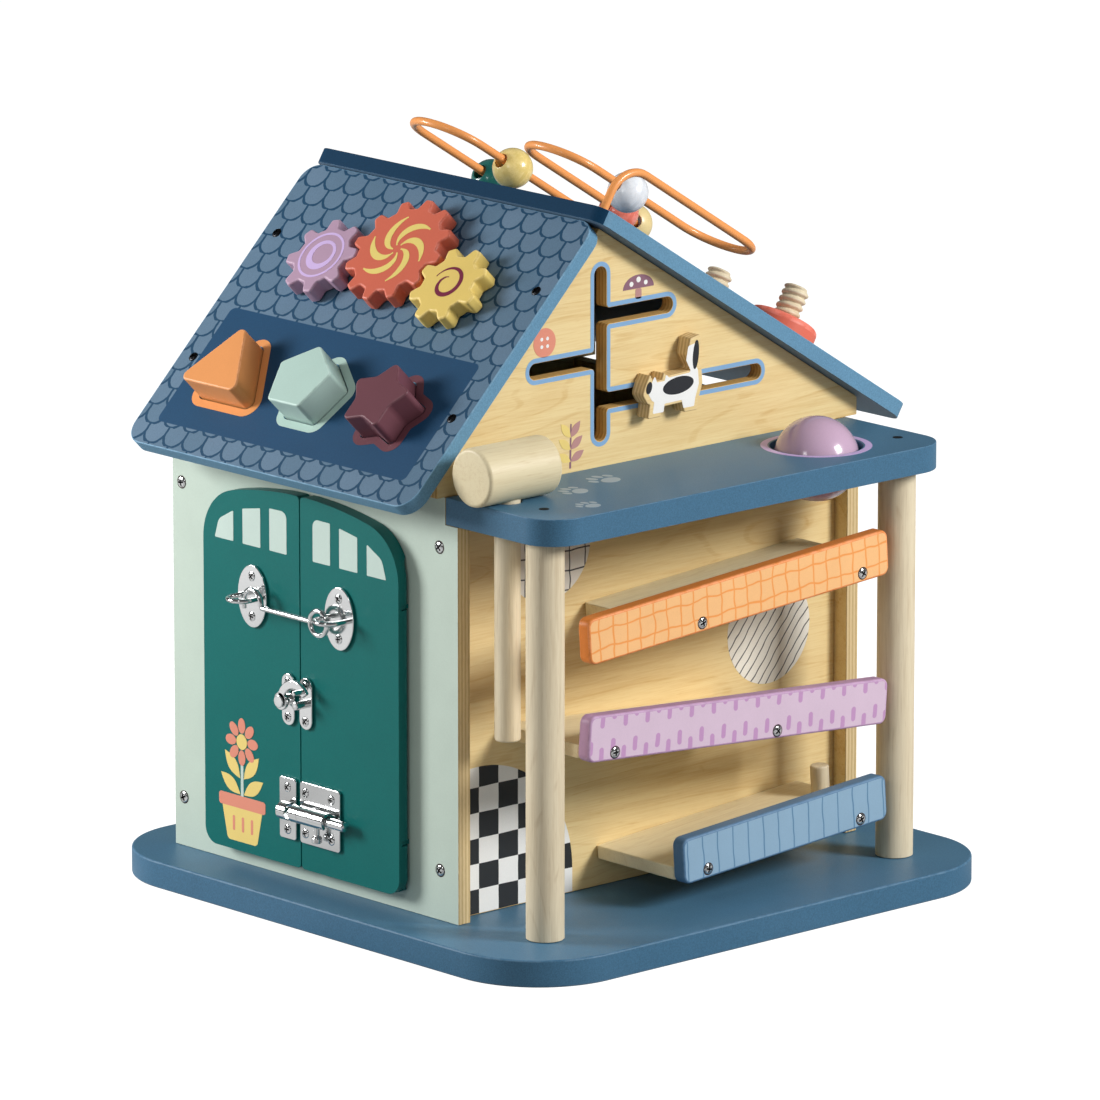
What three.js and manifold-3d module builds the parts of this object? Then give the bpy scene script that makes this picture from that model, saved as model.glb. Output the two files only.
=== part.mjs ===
// Activity house: a plywood play house with a porch ball run, a shape roof, a gear roof,
// a bead wire, screw-on nuts and a pair of arched doors with three latches.
// Millimetres, Z up. The house is laid out from the outer front bottom corner of its door wall:
// X runs along the porch, Y into the house and Z up from the top of the base plate.

import * as THREE from 'three';
import { mergeVertices } from 'three/addons/utils/BufferGeometryUtils.js';
import Module from 'manifold-3d';

const wasm = await Module();
wasm.setup();

// General sizes
const joint_gap = 0.3;
const running_gap = 0.5;
const overrun = 5;
const ply = 9;
const small_edge = 0.5;

// Base plate
const base_left = 35.3;
const base_right = 29.6;
const base_front = 100.8;
const base_rear = 35.1;
const base_thickness = 16;
const base_corner = 58;

// House walls
const house_width = 314;
const house_depth = 247.9;
const arch_head_room = 17.2;
const rear_setback = 3.3;
const ear_left = 6.5;
const ear_right = 8;
const ear_left_rise = 14.8;
const ear_right_rise = 11.33;
const ear_corner = 5;

// Roof boards
const left_pitch = THREE.MathUtils.degToRad(45);
const right_pitch = THREE.MathUtils.degToRad(32);
const left_eave = 34.4;
const left_roof_front = 3.7;
const left_roof_rear = 3.6;
const left_roof_corner = 13;
const left_ridge_corner = 12;
const right_eave = 40.7;
const right_roof_front = 1.4;
const right_roof_rear = 1.4;
const right_roof_corner = 12;
const right_ridge_corner = 10;
const right_overrun = 13;

// Porch
const deck_rise = 0.2;
const deck_thickness = 15.7;
const deck_reach = 77.9;
const deck_lap = 10.1;
const deck_trim = 0.6;
const deck_corner = 22;
const post_diameter = 22;
const post_inset_left = 18;
const post_inset_right = 21;
const post_y = -53.4;
const ramp_pitch = THREE.MathUtils.degToRad(4);
const ramp_thickness = 8;
const ramp_drop = 8.4;
const rail_thickness = 9.3;
const rail_height = 27;
const rail_corner = 5;
const rail_back = -56;
const rail_inset_left = 40.65;
const lower_rail_inset_left = 113.85;
const rail_inset_right = 38.65;
const ramp_length = 169;
const ramp_inset = 1;
const ramp_corner = 2;
const peg_diameter = 11;
const peg_height = 18;
const peg_inset = 11;
const peg_y = -22;

// Ball and the elastic ring that grips it in the deck
const ball_diameter = 50;
const ball_inset = 66.2;
const ball_y = -33;
const ball_hole_diameter = 54;
const ring_height = 7;
const ring_play = 0.3;

// Mallet
const mallet_x = 19.6;
const mallet_y = -20.1;
const mallet_head_length = 55;
const mallet_head_diameter = 34;
const mallet_edge = 2.5;
const handle_edge = 1.7;
const mallet_handle_diameter = 15;
const mallet_handle_drop = 156;
const mallet_socket_depth = 20;
const mallet_hole_play = 0.8;

// Slots in the front gable, and the cat figure that slides in one of them
const slot_width = 9.3;
const slot_inner_corner = 2.5;
const slot_post_shift = 0.9;
const slot_bottom_rise = 14.8;
const slot_top_drop = 22.6;
const slot_upper_drop = 51.9;
const slot_upper_reach = 56.2;
const slot_left_drop = 76.4;
const slot_left_reach = 54.6;
const slot_cat_rise = 37.8;
const slot_cat_inset = 69.2;
const cat_reach = 48.4;
const cat_length = 50;
const cat_height = 44;
const cat_thickness = 10;
const cat_corner = 2.4;
const cat_pin_diameter = 8.4;
const washer_diameter = 19;
const washer_thickness = 3;

// Gears on the left roof: the red one drives the two small ones
const red_teeth = 12;
const small_teeth = 8;
const gear_centre_distance = 56.34;
const red_tip_radius = 35.9;
const small_tip_radius = 26;
const gear_tip_gap = 0.9;
const gear_thickness = 11;
const gear_lift = 1;
const gear_bore_depth = 8;
const axle_diameter = 6;
const axle_head_diameter = 14;
const axle_head_thickness = 4;
const red_gear_drop = 50.1;

// Shape blocks in the left roof
const block_length = 29.5;
const block_stand = 18.5;
const block_play = 0.5;
const triangle_s = 52.2;
const triangle_shift = 67.9;
const triangle_radius = 29.5;
const triangle_corner = 4;
const pentagon_s = 56;
const pentagon_shift = 1.4;
const pentagon_radius = 22.7;
const pentagon_corner = 3;
const star_s = 56;
const star_shift = -64.8;
const star_tip_radius = 24.2;
const star_inner_radius = 14.9;
const star_tip_corner = 3;
const star_inner_corner = 6;

// Bead wire on the right roof
const wire_diameter = 5;
const wire_height = 35;
const wire_first_y = 22.5;
const wire_last_inset = 26.6;
const wire_leg_count = 5;
const wire_foot_t = 21.5;
const wire_bend = 20;
const wire_low_t = 130;
const wire_high_t = 50.5;
const wire_end_t = 148;
const bead_diameter = 24;
const bead_bore = 8.8;
const bead_drop = 1.2;
const white_bead_t = 79.5;
const bead_rest_gap = 0.53;
const yellow_bead_t = 80;
const green_bead_t = 113;
const natural_bead_angle = THREE.MathUtils.degToRad(-41);
const natural_bead_inset = 1.55;

// Threaded studs and round nuts on the right roof
const stud_diameter = 16;
const stud_height = 38.5;
const stud_chamfer = 1.5;
const stud_spigot_diameter = 10;
const stud_t = 220.2;
const stud_front_y = 57;
const stud_pitch_y = 65.5;
const nut_diameter = 43;
const nut_height = 18.2;
const nut_edge = 3;

// Doors
const door_thickness = 8.7;
const door_back_gap = 0.6;
const door_bottom = 10.6;
const seam_shift = 1.15;
const seam_gap = 1;
const leaf_width = 84.5;
const arch_height = 230.4;
const arch_crown_radius = 280;
const arch_shoulder_radius = 32;
const leaf_bottom_corner = 10;
const leaf_seam_corner = 2.5;
const opening_lap = 8;

// Door hinges: flat eyes let into the wall, with one long pin to each leaf
const hinge_inset = 4;
const hinge_pin_diameter = 2.4;
const hinge_eye_radius = 3.2;
const hinge_strap_thickness = 2.5;
const hinge_strap_width = 4;
const hinge_strap_depth = 7;
const hinge_low_z = 40;
const hinge_high_drop = 52.4;
const hinge_pin_bottom = 16;
const hinge_pin_overrun = 8;

// Hook and eye
const plate_thickness = 1.6;
const hook_z = 165;
const hook_plate_width = 25;
const hook_plate_height = 37;
const hook_plate_offset = 35.7;
const catch_plate_offset = 40.1;
const staple_wire = 3;
const staple_half_width = 8;
const staple_reach = 18.5;
const hook_wire = 3.2;
const hook_ring_radius = 7.2;
const hook_hang_angle = THREE.MathUtils.degToRad(-58);
const hook_stand = 8;
const hook_arch_radius = 7.5;
const hook_fillet = 2;
const hook_tip_drop = 4.5;

// Swivel latch
const swivel_z = 109.7;
const swivel_plate_width = 10.8;
const swivel_plate_height = 30.6;
const swivel_plate_offset = 9;
const swivel_stud_offset = 6.3;
const swivel_pin_diameter = 4;
const swivel_stud_diameter = 5;
const swivel_stud_reach = 10;
const swivel_stand = 5.2;
const swivel_thickness = 2.4;
const swivel_eye_radius = 5.4;
const swivel_inner_radius = 9;
const swivel_outer_radius = 14;
const swivel_finger_diameter = 3;
const swivel_finger_reach = 7;
const swivel_tip_angle = THREE.MathUtils.degToRad(146);

// Barrel bolt
const bolt_z = 45;
const bolt_stand = 6;
const bolt_plate_length = 34.6;
const bolt_plate_height = 36.5;
const bolt_plate_corner = 2;
const bolt_plate_inset = 0.6;
const keeper_length = 14.5;
const keeper_inset = 2;
const keeper_strap_length = 7;
const barrel_diameter = 10.6;
const barrel_foot_width = 6;
const barrel_inset = 5;
const bolt_slot_margin = 2;
const keeper_play = 1.4;
const rod_diameter = 6;
const rod_length = 55;
const rod_end_inset = 0.5;
const rod_dome = 1.5;
const bolt_handle_diameter = 3.3;
const bolt_handle_reach = 14;
const bolt_handle_inset = 30;
const bolt_foot_diameter = 6;
const bolt_foot_height = 3;

// Shares and counts
const star_points = 5;
const gear_steps_per_tooth = 8;
const gear_flank_share = 0.26;
const gear_land_share = 0.2;
const slot_end_share = 0.49;
const mitre_share = 0.5;
const upper_rail_share = 0.7673;
const middle_rail_share = 0.455;
const lower_rail_share = 0.1495;
const triangle_sides = 3;
const pentagon_sides = 5;
const bead_rings = 7;
const bead_sides = 16;
const ball_rings = 12;
const large_round_sides = 36;
const round_sides = 20;
const small_round_sides = 12;
const wire_sides = 8;
const bend_steps = 5;
const hook_ring_steps = 14;
const closed_ring_share = 0.999;

// Worked-out places
const front_wall_y = deck_lap + joint_gap;
const rear_wall_y = house_depth - rear_setback - ply;
const wall_height = arch_height + arch_head_room;
const deck_top = wall_height + deck_rise;
const deck_bottom = deck_top - deck_thickness;
const seam_y = house_depth / 2 + seam_shift;
const hinge_high_z = arch_height - hinge_high_drop;
const hinge_pin_top = hinge_high_z + hinge_pin_overrun;
const leaf_back_x = -door_back_gap;
const leaf_face_x = leaf_back_x - door_thickness;
const hinge_axis_x = leaf_back_x - hinge_inset;
const gear_direction = Math.PI / red_teeth;
const full_turn = 2 * Math.PI;
const quarter_turn = Math.PI / 2;

const axis_x = new THREE.Vector3(1, 0, 0);
const axis_y = new THREE.Vector3(0, 1, 0);
const axis_z = new THREE.Vector3(0, 0, 1);

// Outlines drawn in X and Y are stood up facing the porch, or facing the door side
const facing_porch = new THREE.Matrix4().makeBasis(axis_x, axis_z, axis_y.clone().negate());
const facing_doors = new THREE.Matrix4().makeBasis(axis_y, axis_z, axis_x);

function finish(color, roughness, metalness = 0) {
  return new THREE.MeshStandardMaterial({ color, roughness, metalness });
}

const slate_paint = finish('#5c7388', 0.6);
const blue_paint = finish('#4a7ea3', 0.55);
const mint_paint = finish('#b4c8bb', 0.6);
const teal_paint = finish('#1f6f69', 0.5);
const red_paint = finish('#c9614f', 0.5);
const lilac_paint = finish('#b79bb5', 0.5);
const yellow_paint = finish('#dfc573', 0.5);
const orange_paint = finish('#e8a35a', 0.5);
const pale_mint_paint = finish('#b5cfc6', 0.5);
const maroon_paint = finish('#6d444e', 0.5);
const coral_paint = finish('#e0715f', 0.5);
const white_paint = finish('#f1f0ec', 0.5);
const green_paint = finish('#1d655f', 0.4);
const natural_wood = finish('#e8d5ab', 0.65);
const orange_wire = finish('#f0a04a', 0.25);
const dark_rubber = finish('#2d3640', 0.7);
const chrome = finish('#d8d8dc', 0.15, 1);
const zinc_steel = finish('#9a9da1', 0.35, 1);

// Merges shared corners, drops empty triangles and turns the faces outward
function closed(geometry) {
  const plain = geometry.clone();
  plain.deleteAttribute('normal');
  plain.deleteAttribute('uv');
  const merged = mergeVertices(plain);
  const at = merged.attributes.position;
  const corner = (index) => new THREE.Vector3().fromBufferAttribute(at, index);
  const triangles = [];
  let volume = 0;
  for (let i = 0; i < merged.index.count; i += 3) {
    const [a, b, c] = [0, 1, 2].map((k) => merged.index.getX(i + k));
    if (a !== b && b !== c && c !== a) {
      triangles.push([a, b, c]);
      volume += corner(a).dot(corner(b).cross(corner(c)));
    }
  }
  const outward = volume < 0 ? triangles.map(([a, b, c]) => [a, c, b]) : triangles;
  merged.setIndex(outward.flat());
  return merged;
}

function solid(geometry) {
  const whole = closed(geometry);
  return new wasm.Manifold(new wasm.Mesh({
    numProp: 3,
    vertProperties: new Float32Array(whole.attributes.position.array),
    triVerts: new Uint32Array(whole.index.array),
  }));
}

function geometryOf(body) {
  const result = body.getMesh();
  const geometry = new THREE.BufferGeometry();
  geometry.setAttribute('position', new THREE.BufferAttribute(result.vertProperties, 3));
  geometry.setIndex(new THREE.BufferAttribute(result.triVerts, 1));
  return geometry;
}

function cut(geometry, ...tools) {
  return geometryOf(tools.reduce((body, tool) => body.subtract(solid(tool)), solid(geometry)));
}

function join(geometry, ...others) {
  return geometryOf(others.reduce((body, other) => body.add(solid(other)), solid(geometry)));
}

function add(parent, name, geometry, material) {
  const piece = new THREE.Mesh(closed(geometry), material);
  piece.name = name;
  piece.geometry.computeVertexNormals();
  parent.add(piece);
  return piece;
}

// A closed outline with rounded corners: each corner is [x, y, radius], listed anticlockwise.
// Growing it moves every side outward and keeps the corner centres.
function roundedOutline(corners, grow = 0) {
  const outline = new THREE.Shape();
  corners.forEach(([x, y, radius], i) => {
    const here = new THREE.Vector2(x, y);
    const before = corners[(i + corners.length - 1) % corners.length];
    const after = corners[(i + 1) % corners.length];
    const back = new THREE.Vector2(before[0], before[1]).sub(here).normalize();
    const ahead = new THREE.Vector2(after[0], after[1]).sub(here).normalize();
    const turn = ahead.cross(back);
    const half_angle = Math.acos(THREE.MathUtils.clamp(back.dot(ahead), -1, 1)) / 2;
    const inward = back.clone().add(ahead).normalize();
    const centre = here.clone().addScaledVector(inward, radius / Math.sin(half_angle));
    const side = turn > 0 ? 1 : -1;
    const swing = quarter_turn - half_angle;
    const outward_angle = Math.atan2(-inward.y, -inward.x);
    outline.absarc(centre.x, centre.y, radius + side * grow,
      outward_angle - side * swing, outward_angle + side * swing, side < 0);
  });
  return outline;
}

function rectangle(x0, y0, x1, y1, radius, grow = 0) {
  return roundedOutline([[x0, y0, radius], [x1, y0, radius], [x1, y1, radius], [x0, y1, radius]], grow);
}

function sharpOutline(points) {
  return new THREE.Shape(points.map(([x, y]) => new THREE.Vector2(x, y)));
}

function ring(radius, sides) {
  const points = [];
  for (let i = 0; i < sides; i += 1) {
    const angle = full_turn * i / sides;
    points.push([radius * Math.cos(angle), radius * Math.sin(angle)]);
  }
  return sharpOutline(points);
}

function roundHole(x, y, radius) {
  return new THREE.Path().absarc(x, y, radius, 0, full_turn);
}

// A slab of an outline, from z = 0 to its thickness
function slab(outline, thickness, arc_steps = 3) {
  return new THREE.ExtrudeGeometry(outline, {
    depth: thickness,
    bevelEnabled: false,
    curveSegments: arc_steps,
  });
}

function standing(outline, y, thickness, arc_steps) {
  return slab(outline, thickness, arc_steps).applyMatrix4(facing_porch).translate(0, y + thickness, 0);
}

function sideways(outline, x, thickness, arc_steps) {
  return slab(outline, thickness, arc_steps).applyMatrix4(facing_doors).translate(x, 0, 0);
}

function block(x0, x1, y0, y1, z0, z1) {
  const geometry = new THREE.BoxGeometry(x1 - x0, y1 - y0, z1 - z0);
  return geometry.translate((x0 + x1) / 2, (y0 + y1) / 2, (z0 + z1) / 2);
}

function upright(radius, z0, z1, sides = round_sides) {
  return new THREE.CylinderGeometry(radius, radius, z1 - z0, sides).rotateX(quarter_turn)
    .translate(0, 0, (z0 + z1) / 2);
}

function alongX(radius, x0, x1, sides = round_sides) {
  return new THREE.CylinderGeometry(radius, radius, x1 - x0, sides).rotateZ(quarter_turn)
    .translate((x0 + x1) / 2, 0, 0);
}

function alongY(radius, y0, y1, sides = round_sides) {
  return new THREE.CylinderGeometry(radius, radius, y1 - y0, sides).translate(0, (y0 + y1) / 2, 0);
}

// A body turned about Z: the profile lists [radius, height]
function turned(profile, sides = round_sides) {
  const points = profile.map(([radius, height]) => new THREE.Vector2(radius, height));
  return new THREE.LatheGeometry(points, sides).rotateX(quarter_turn);
}

// A bent wire, laid as straight runs and bends from a start point and heading
class Route extends THREE.Curve {
  constructor(start, heading) {
    super();
    this.stations = [{ point: start.clone(), tangent: heading.clone() }];
  }

  get last() {
    return this.stations[this.stations.length - 1];
  }

  run(length) {
    const { point, tangent } = this.last;
    this.stations.push({ point: point.clone().addScaledVector(tangent, length), tangent: tangent.clone() });
    return this;
  }

  bend(radius, axis, angle, steps = bend_steps) {
    const { point, tangent } = this.last;
    const centre = point.clone().addScaledVector(axis.clone().cross(tangent), radius);
    for (let i = 1; i <= steps; i += 1) {
      const share = angle * i / steps;
      const spoke = point.clone().sub(centre).applyAxisAngle(axis, share);
      this.stations.push({
        point: centre.clone().add(spoke),
        tangent: tangent.clone().applyAxisAngle(axis, share),
      });
    }
    return this;
  }

  getPointAt(u, target = new THREE.Vector3()) {
    return target.copy(this.stations[Math.round(u * (this.stations.length - 1))].point);
  }

  getTangentAt(u, target = new THREE.Vector3()) {
    return target.copy(this.stations[Math.round(u * (this.stations.length - 1))].tangent);
  }

  wire(diameter, sides = wire_sides) {
    return new THREE.ExtrudeGeometry(ring(diameter / 2, sides), {
      steps: this.stations.length - 1,
      extrudePath: this,
    });
  }
}

const house = new THREE.Group();

// The base plate
function basePlate() {
  const outline = rectangle(-base_left, -base_front, house_width + base_right,
    house_depth + base_rear, base_corner);
  return slab(outline, base_thickness, 6).translate(0, 0, -base_thickness);
}
add(house, 'base_plate', basePlate(), blue_paint);

// The two side walls have a notch at the front top for the deck
function sideWallOutline() {
  return sharpOutline([
    [0, joint_gap],
    [house_depth, joint_gap],
    [house_depth, wall_height],
    [front_wall_y, wall_height],
    [front_wall_y, deck_bottom - joint_gap],
    [0, deck_bottom - joint_gap],
  ]);
}

// Half width, crown and shoulders of the arch; inset makes it smaller all round
function archOutline(y0, y1, bottom, inset, bottom_corner) {
  const half_width = (y1 - y0) / 2 - inset;
  const middle = (y0 + y1) / 2;
  const crown = arch_crown_radius - inset;
  const shoulder = arch_shoulder_radius - inset;
  const crown_z = arch_height - arch_crown_radius;
  const shoulder_z = crown_z + Math.sqrt((crown - shoulder) ** 2 - (half_width - shoulder) ** 2);
  const lean = Math.atan2(shoulder_z - crown_z, half_width - shoulder);
  const outline = new THREE.Shape();
  outline.absarc(middle - half_width + bottom_corner, bottom + bottom_corner, bottom_corner,
    Math.PI, 3 * quarter_turn);
  outline.absarc(middle + half_width - bottom_corner, bottom + bottom_corner, bottom_corner,
    3 * quarter_turn, full_turn);
  outline.absarc(middle + half_width - shoulder, shoulder_z, shoulder, 0, lean);
  outline.absarc(middle, crown_z, crown, lean, Math.PI - lean);
  outline.absarc(middle - half_width + shoulder, shoulder_z, shoulder, Math.PI - lean, Math.PI);
  return outline;
}

const door_start_y = seam_y - seam_gap / 2 - leaf_width;
const door_end_y = seam_y + seam_gap / 2 + leaf_width;
const hinge_right_y = door_start_y + hinge_inset;
const hinge_left_y = door_end_y - hinge_inset;

// The flat eye of a hinge: a strap from the pin into the wall
function hingeEye(grow) {
  const eye = upright(hinge_eye_radius + grow, -grow, hinge_strap_thickness + grow, small_round_sides);
  const half_width = hinge_strap_width / 2 + grow;
  const strap = block(0, hinge_strap_depth - hinge_axis_x + grow, -half_width, half_width,
    -grow, hinge_strap_thickness + grow);
  return join(eye, strap);
}

function hingePlaces() {
  const places = [];
  for (const y of [hinge_right_y, hinge_left_y]) {
    for (const z of [hinge_low_z, hinge_high_z]) {
      places.push([y, z]);
    }
  }
  return places;
}

function doorWall() {
  const outline = sideWallOutline();
  const wall = sideways(outline, 0, ply);
  const doorway = sideways(
    archOutline(door_start_y, door_end_y, door_bottom + opening_lap, opening_lap, leaf_seam_corner),
    -overrun, ply + 2 * overrun, 5);
  const mortises = hingePlaces().map(([y, z]) => hingeEye(joint_gap).translate(hinge_axis_x, y, z));
  return cut(wall, doorway, ...mortises);
}
add(house, 'door_wall', doorWall(), mint_paint);
add(house, 'far_wall', sideways(sideWallOutline(), house_width - ply, ply), mint_paint);

// The ridge is where the two slopes meet, each drawn up from the ear of the wall on its side
const left_slope = Math.tan(left_pitch);
const right_slope = Math.tan(right_pitch);
const right_ear_x = house_width + ear_right;
const ridge_x = (ear_right_rise - ear_left_rise + right_ear_x * right_slope - ear_left * left_slope)
  / (left_slope + right_slope);
const ridge_z = wall_height + ear_left_rise + (ridge_x + ear_left) * left_slope;

// Undersides of the two roof boards, as heights over x
function leftUnderside(x) {
  return ridge_z - (ridge_x - x) * left_slope;
}

function rightUnderside(x) {
  return ridge_z - (x - ridge_x) * right_slope;
}

// The five-sided front and rear walls stand between the side walls, and their ears lie over them
function gableOutline() {
  const inner_left = ply + joint_gap;
  const inner_right = house_width - inner_left;
  const shelf = wall_height + joint_gap;
  const left_drop = joint_gap / Math.cos(left_pitch);
  const right_drop = joint_gap / Math.cos(right_pitch);
  const apex_x = ridge_x - (left_drop - right_drop) / (left_slope + right_slope);
  return roundedOutline([
    [inner_left, joint_gap, small_edge],
    [inner_right, joint_gap, small_edge],
    [inner_right, shelf, small_edge],
    [right_ear_x, shelf, small_edge],
    [right_ear_x, rightUnderside(right_ear_x) - right_drop, ear_corner / 2],
    [apex_x, leftUnderside(apex_x) - left_drop, small_edge],
    [-ear_left, leftUnderside(-ear_left) - left_drop, ear_corner],
    [-ear_left, shelf, small_edge],
    [inner_left, shelf, small_edge],
  ]);
}

// One connected slot: an upright with two branches to the right and one to the left
const slot_post_x = ridge_x + slot_post_shift;
const slot_bottom_z = wall_height + slot_bottom_rise;
const slot_top_z = ridge_z - slot_top_drop;
const slot_upper_z = ridge_z - slot_upper_drop;
const slot_upper_end = slot_post_x + slot_upper_reach;
const slot_left_z = ridge_z - slot_left_drop;
const slot_left_end = slot_post_x - slot_left_reach;
const slot_cat_z = wall_height + slot_cat_rise;
const slot_cat_end = house_width - slot_cat_inset;
const cat_x = slot_post_x + cat_reach;

function slotOutline() {
  const half = slot_width / 2;
  const end = slot_width * slot_end_share;
  const inner = slot_inner_corner;
  const left = slot_post_x - half;
  const right = slot_post_x + half;
  return roundedOutline([
    [left, slot_bottom_z, end],
    [right, slot_bottom_z, end],
    [right, slot_cat_z - half, inner],
    [slot_cat_end, slot_cat_z - half, end],
    [slot_cat_end, slot_cat_z + half, end],
    [right, slot_cat_z + half, inner],
    [right, slot_upper_z - half, inner],
    [slot_upper_end, slot_upper_z - half, end],
    [slot_upper_end, slot_upper_z + half, end],
    [right, slot_upper_z + half, inner],
    [right, slot_top_z, end],
    [left, slot_top_z, end],
    [left, slot_left_z + half, inner],
    [slot_left_end, slot_left_z + half, end],
    [slot_left_end, slot_left_z - half, end],
    [left, slot_left_z - half, inner],
  ]);
}

function frontWall() {
  const outline = gableOutline();
  outline.holes.push(slotOutline());
  return standing(outline, front_wall_y, ply);
}
add(house, 'front_wall', frontWall(), natural_wood);
add(house, 'rear_wall', standing(gableOutline(), rear_wall_y, ply), natural_wood);

// The left roof's frame: X runs up its slope from the eave, Z stands on its top face
const left_roof_lift = ply / Math.cos(left_pitch);
const left_roof = new THREE.Group();
left_roof.position.set(-left_eave, 0, leftUnderside(-left_eave) + left_roof_lift);
left_roof.rotation.y = -left_pitch;
house.add(left_roof);

// Its upper end stops just under the right roof board
const left_roof_top_x = ridge_x - (left_roof_lift + joint_gap / Math.cos(right_pitch))
  / (left_slope + right_slope);
const left_roof_length = (left_roof_top_x + left_eave) / Math.cos(left_pitch);

// The right roof's frame: X runs down its slope from the ridge end, Z stands on its top face
const right_roof = new THREE.Group();
const right_top_x = ridge_x - right_overrun * Math.cos(right_pitch);
right_roof.position.set(
  right_top_x + ply * Math.sin(right_pitch), 0, rightUnderside(right_top_x) + ply * Math.cos(right_pitch));
right_roof.rotation.y = right_pitch;
house.add(right_roof);
const right_roof_length = (house_width + right_eave - right_roof.position.x) / Math.cos(right_pitch);

function regularCorners(sides, radius, corner) {
  const corners = [];
  for (let i = 0; i < sides; i += 1) {
    const angle = full_turn * i / sides;
    corners.push([radius * Math.cos(angle), radius * Math.sin(angle), corner]);
  }
  return corners;
}

function starCorners() {
  const corners = [];
  for (let i = 0; i < star_points; i += 1) {
    const tip = full_turn * i / star_points;
    const inner = tip + Math.PI / star_points;
    corners.push([star_tip_radius * Math.cos(tip), star_tip_radius * Math.sin(tip), star_tip_corner]);
    corners.push([star_inner_radius * Math.cos(inner), star_inner_radius * Math.sin(inner),
      star_inner_corner]);
  }
  return corners;
}

const blocks = [
  { name: 'block_triangle', s: triangle_s, y: seam_y + triangle_shift, paint: orange_paint,
    corners: regularCorners(triangle_sides, triangle_radius, triangle_corner) },
  { name: 'block_pentagon', s: pentagon_s, y: seam_y + pentagon_shift, paint: pale_mint_paint,
    corners: regularCorners(pentagon_sides, pentagon_radius, pentagon_corner) },
  { name: 'block_star', s: star_s, y: seam_y + star_shift, paint: maroon_paint, corners: starCorners() },
];

const red_gear_s = left_roof_length - red_gear_drop;
const small_gear_s = red_gear_s - gear_centre_distance * Math.sin(gear_direction);
const small_gear_shift = gear_centre_distance * Math.cos(gear_direction);
const gears = [
  { name: 'red', s: red_gear_s, y: seam_y, teeth: red_teeth, tip: red_tip_radius,
    root: gear_centre_distance - small_tip_radius - gear_tip_gap,
    first_tooth: 0, paint: red_paint },
  { name: 'lilac', s: small_gear_s, y: seam_y + small_gear_shift, teeth: small_teeth,
    tip: small_tip_radius, root: gear_centre_distance - red_tip_radius - gear_tip_gap,
    first_tooth: Math.PI - gear_direction, paint: lilac_paint },
  { name: 'yellow', s: small_gear_s, y: seam_y - small_gear_shift, teeth: small_teeth,
    tip: small_tip_radius, root: gear_centre_distance - red_tip_radius - gear_tip_gap,
    first_tooth: gear_direction, paint: yellow_paint },
];

function leftRoof() {
  const outline = roundedOutline([
    [0, left_roof_front, left_roof_corner],
    [left_roof_length, left_roof_front, left_ridge_corner],
    [left_roof_length, house_depth + left_roof_rear, left_ridge_corner],
    [0, house_depth + left_roof_rear, left_roof_corner],
  ]);
  const board = slab(outline, ply).translate(0, 0, -ply);
  const holes = blocks.map(({ s, y, corners }) => slab(
    roundedOutline(corners, block_play), ply + 2 * overrun).translate(s, y, -ply - overrun));
  const axle_holes = gears.map(({ s, y }) => upright(
    axle_diameter / 2 + joint_gap, -ply - overrun, overrun, small_round_sides).translate(s, y, 0));
  return cut(board, ...holes, ...axle_holes);
}
add(left_roof, 'roof_left', leftRoof(), slate_paint);

for (const { name, s, y, corners, paint } of blocks) {
  const shape = slab(roundedOutline(corners), block_length);
  add(left_roof, name, shape.translate(s, y, block_stand - block_length), paint);
}

// Rounded teeth: the radius swings between root and tip over each tooth
function gearOutline({ teeth, tip, root, first_tooth }) {
  const points = [];
  for (let i = 0; i < teeth * gear_steps_per_tooth; i += 1) {
    const turn = i / gear_steps_per_tooth;
    const from_crest = Math.abs(turn - Math.round(turn));
    const flank = (from_crest - gear_land_share / 2) / gear_flank_share;
    const rise = (1 + Math.cos(Math.PI * THREE.MathUtils.clamp(flank, 0, 1))) / 2;
    const radius = root + (tip - root) * rise;
    const angle = full_turn * turn / teeth + first_tooth;
    points.push([radius * Math.sin(angle), radius * Math.cos(angle)]);
  }
  return sharpOutline(points.reverse());
}

function gearWheel(gear) {
  const wheel = slab(gearOutline(gear), gear_thickness);
  const bore = upright(axle_diameter / 2 + joint_gap, -overrun, gear_bore_depth, small_round_sides);
  return cut(wheel, bore).translate(gear.s, gear.y, gear_lift);
}

function gearAxle({ s, y }) {
  const pin = upright(axle_diameter / 2, -ply - joint_gap - axle_head_thickness / 2,
    gear_lift + gear_bore_depth - joint_gap, small_round_sides);
  const head = upright(axle_head_diameter / 2, -ply - joint_gap - axle_head_thickness,
    -ply - joint_gap, round_sides);
  return join(pin, head).translate(s, y, 0);
}

for (const gear of gears) {
  add(left_roof, `gear_${gear.name}`, gearWheel(gear), gear.paint);
  add(left_roof, `gear_axle_${gear.name}`, gearAxle(gear), zinc_steel);
}

// The bead wire winds over the right roof in five parallel legs
const wire_last_y = house_depth - wire_last_inset;
const wire_leg_pitch = (wire_last_y - wire_first_y) / (wire_leg_count - 1);
const wire_turn_radius = wire_leg_pitch / 2;

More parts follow.
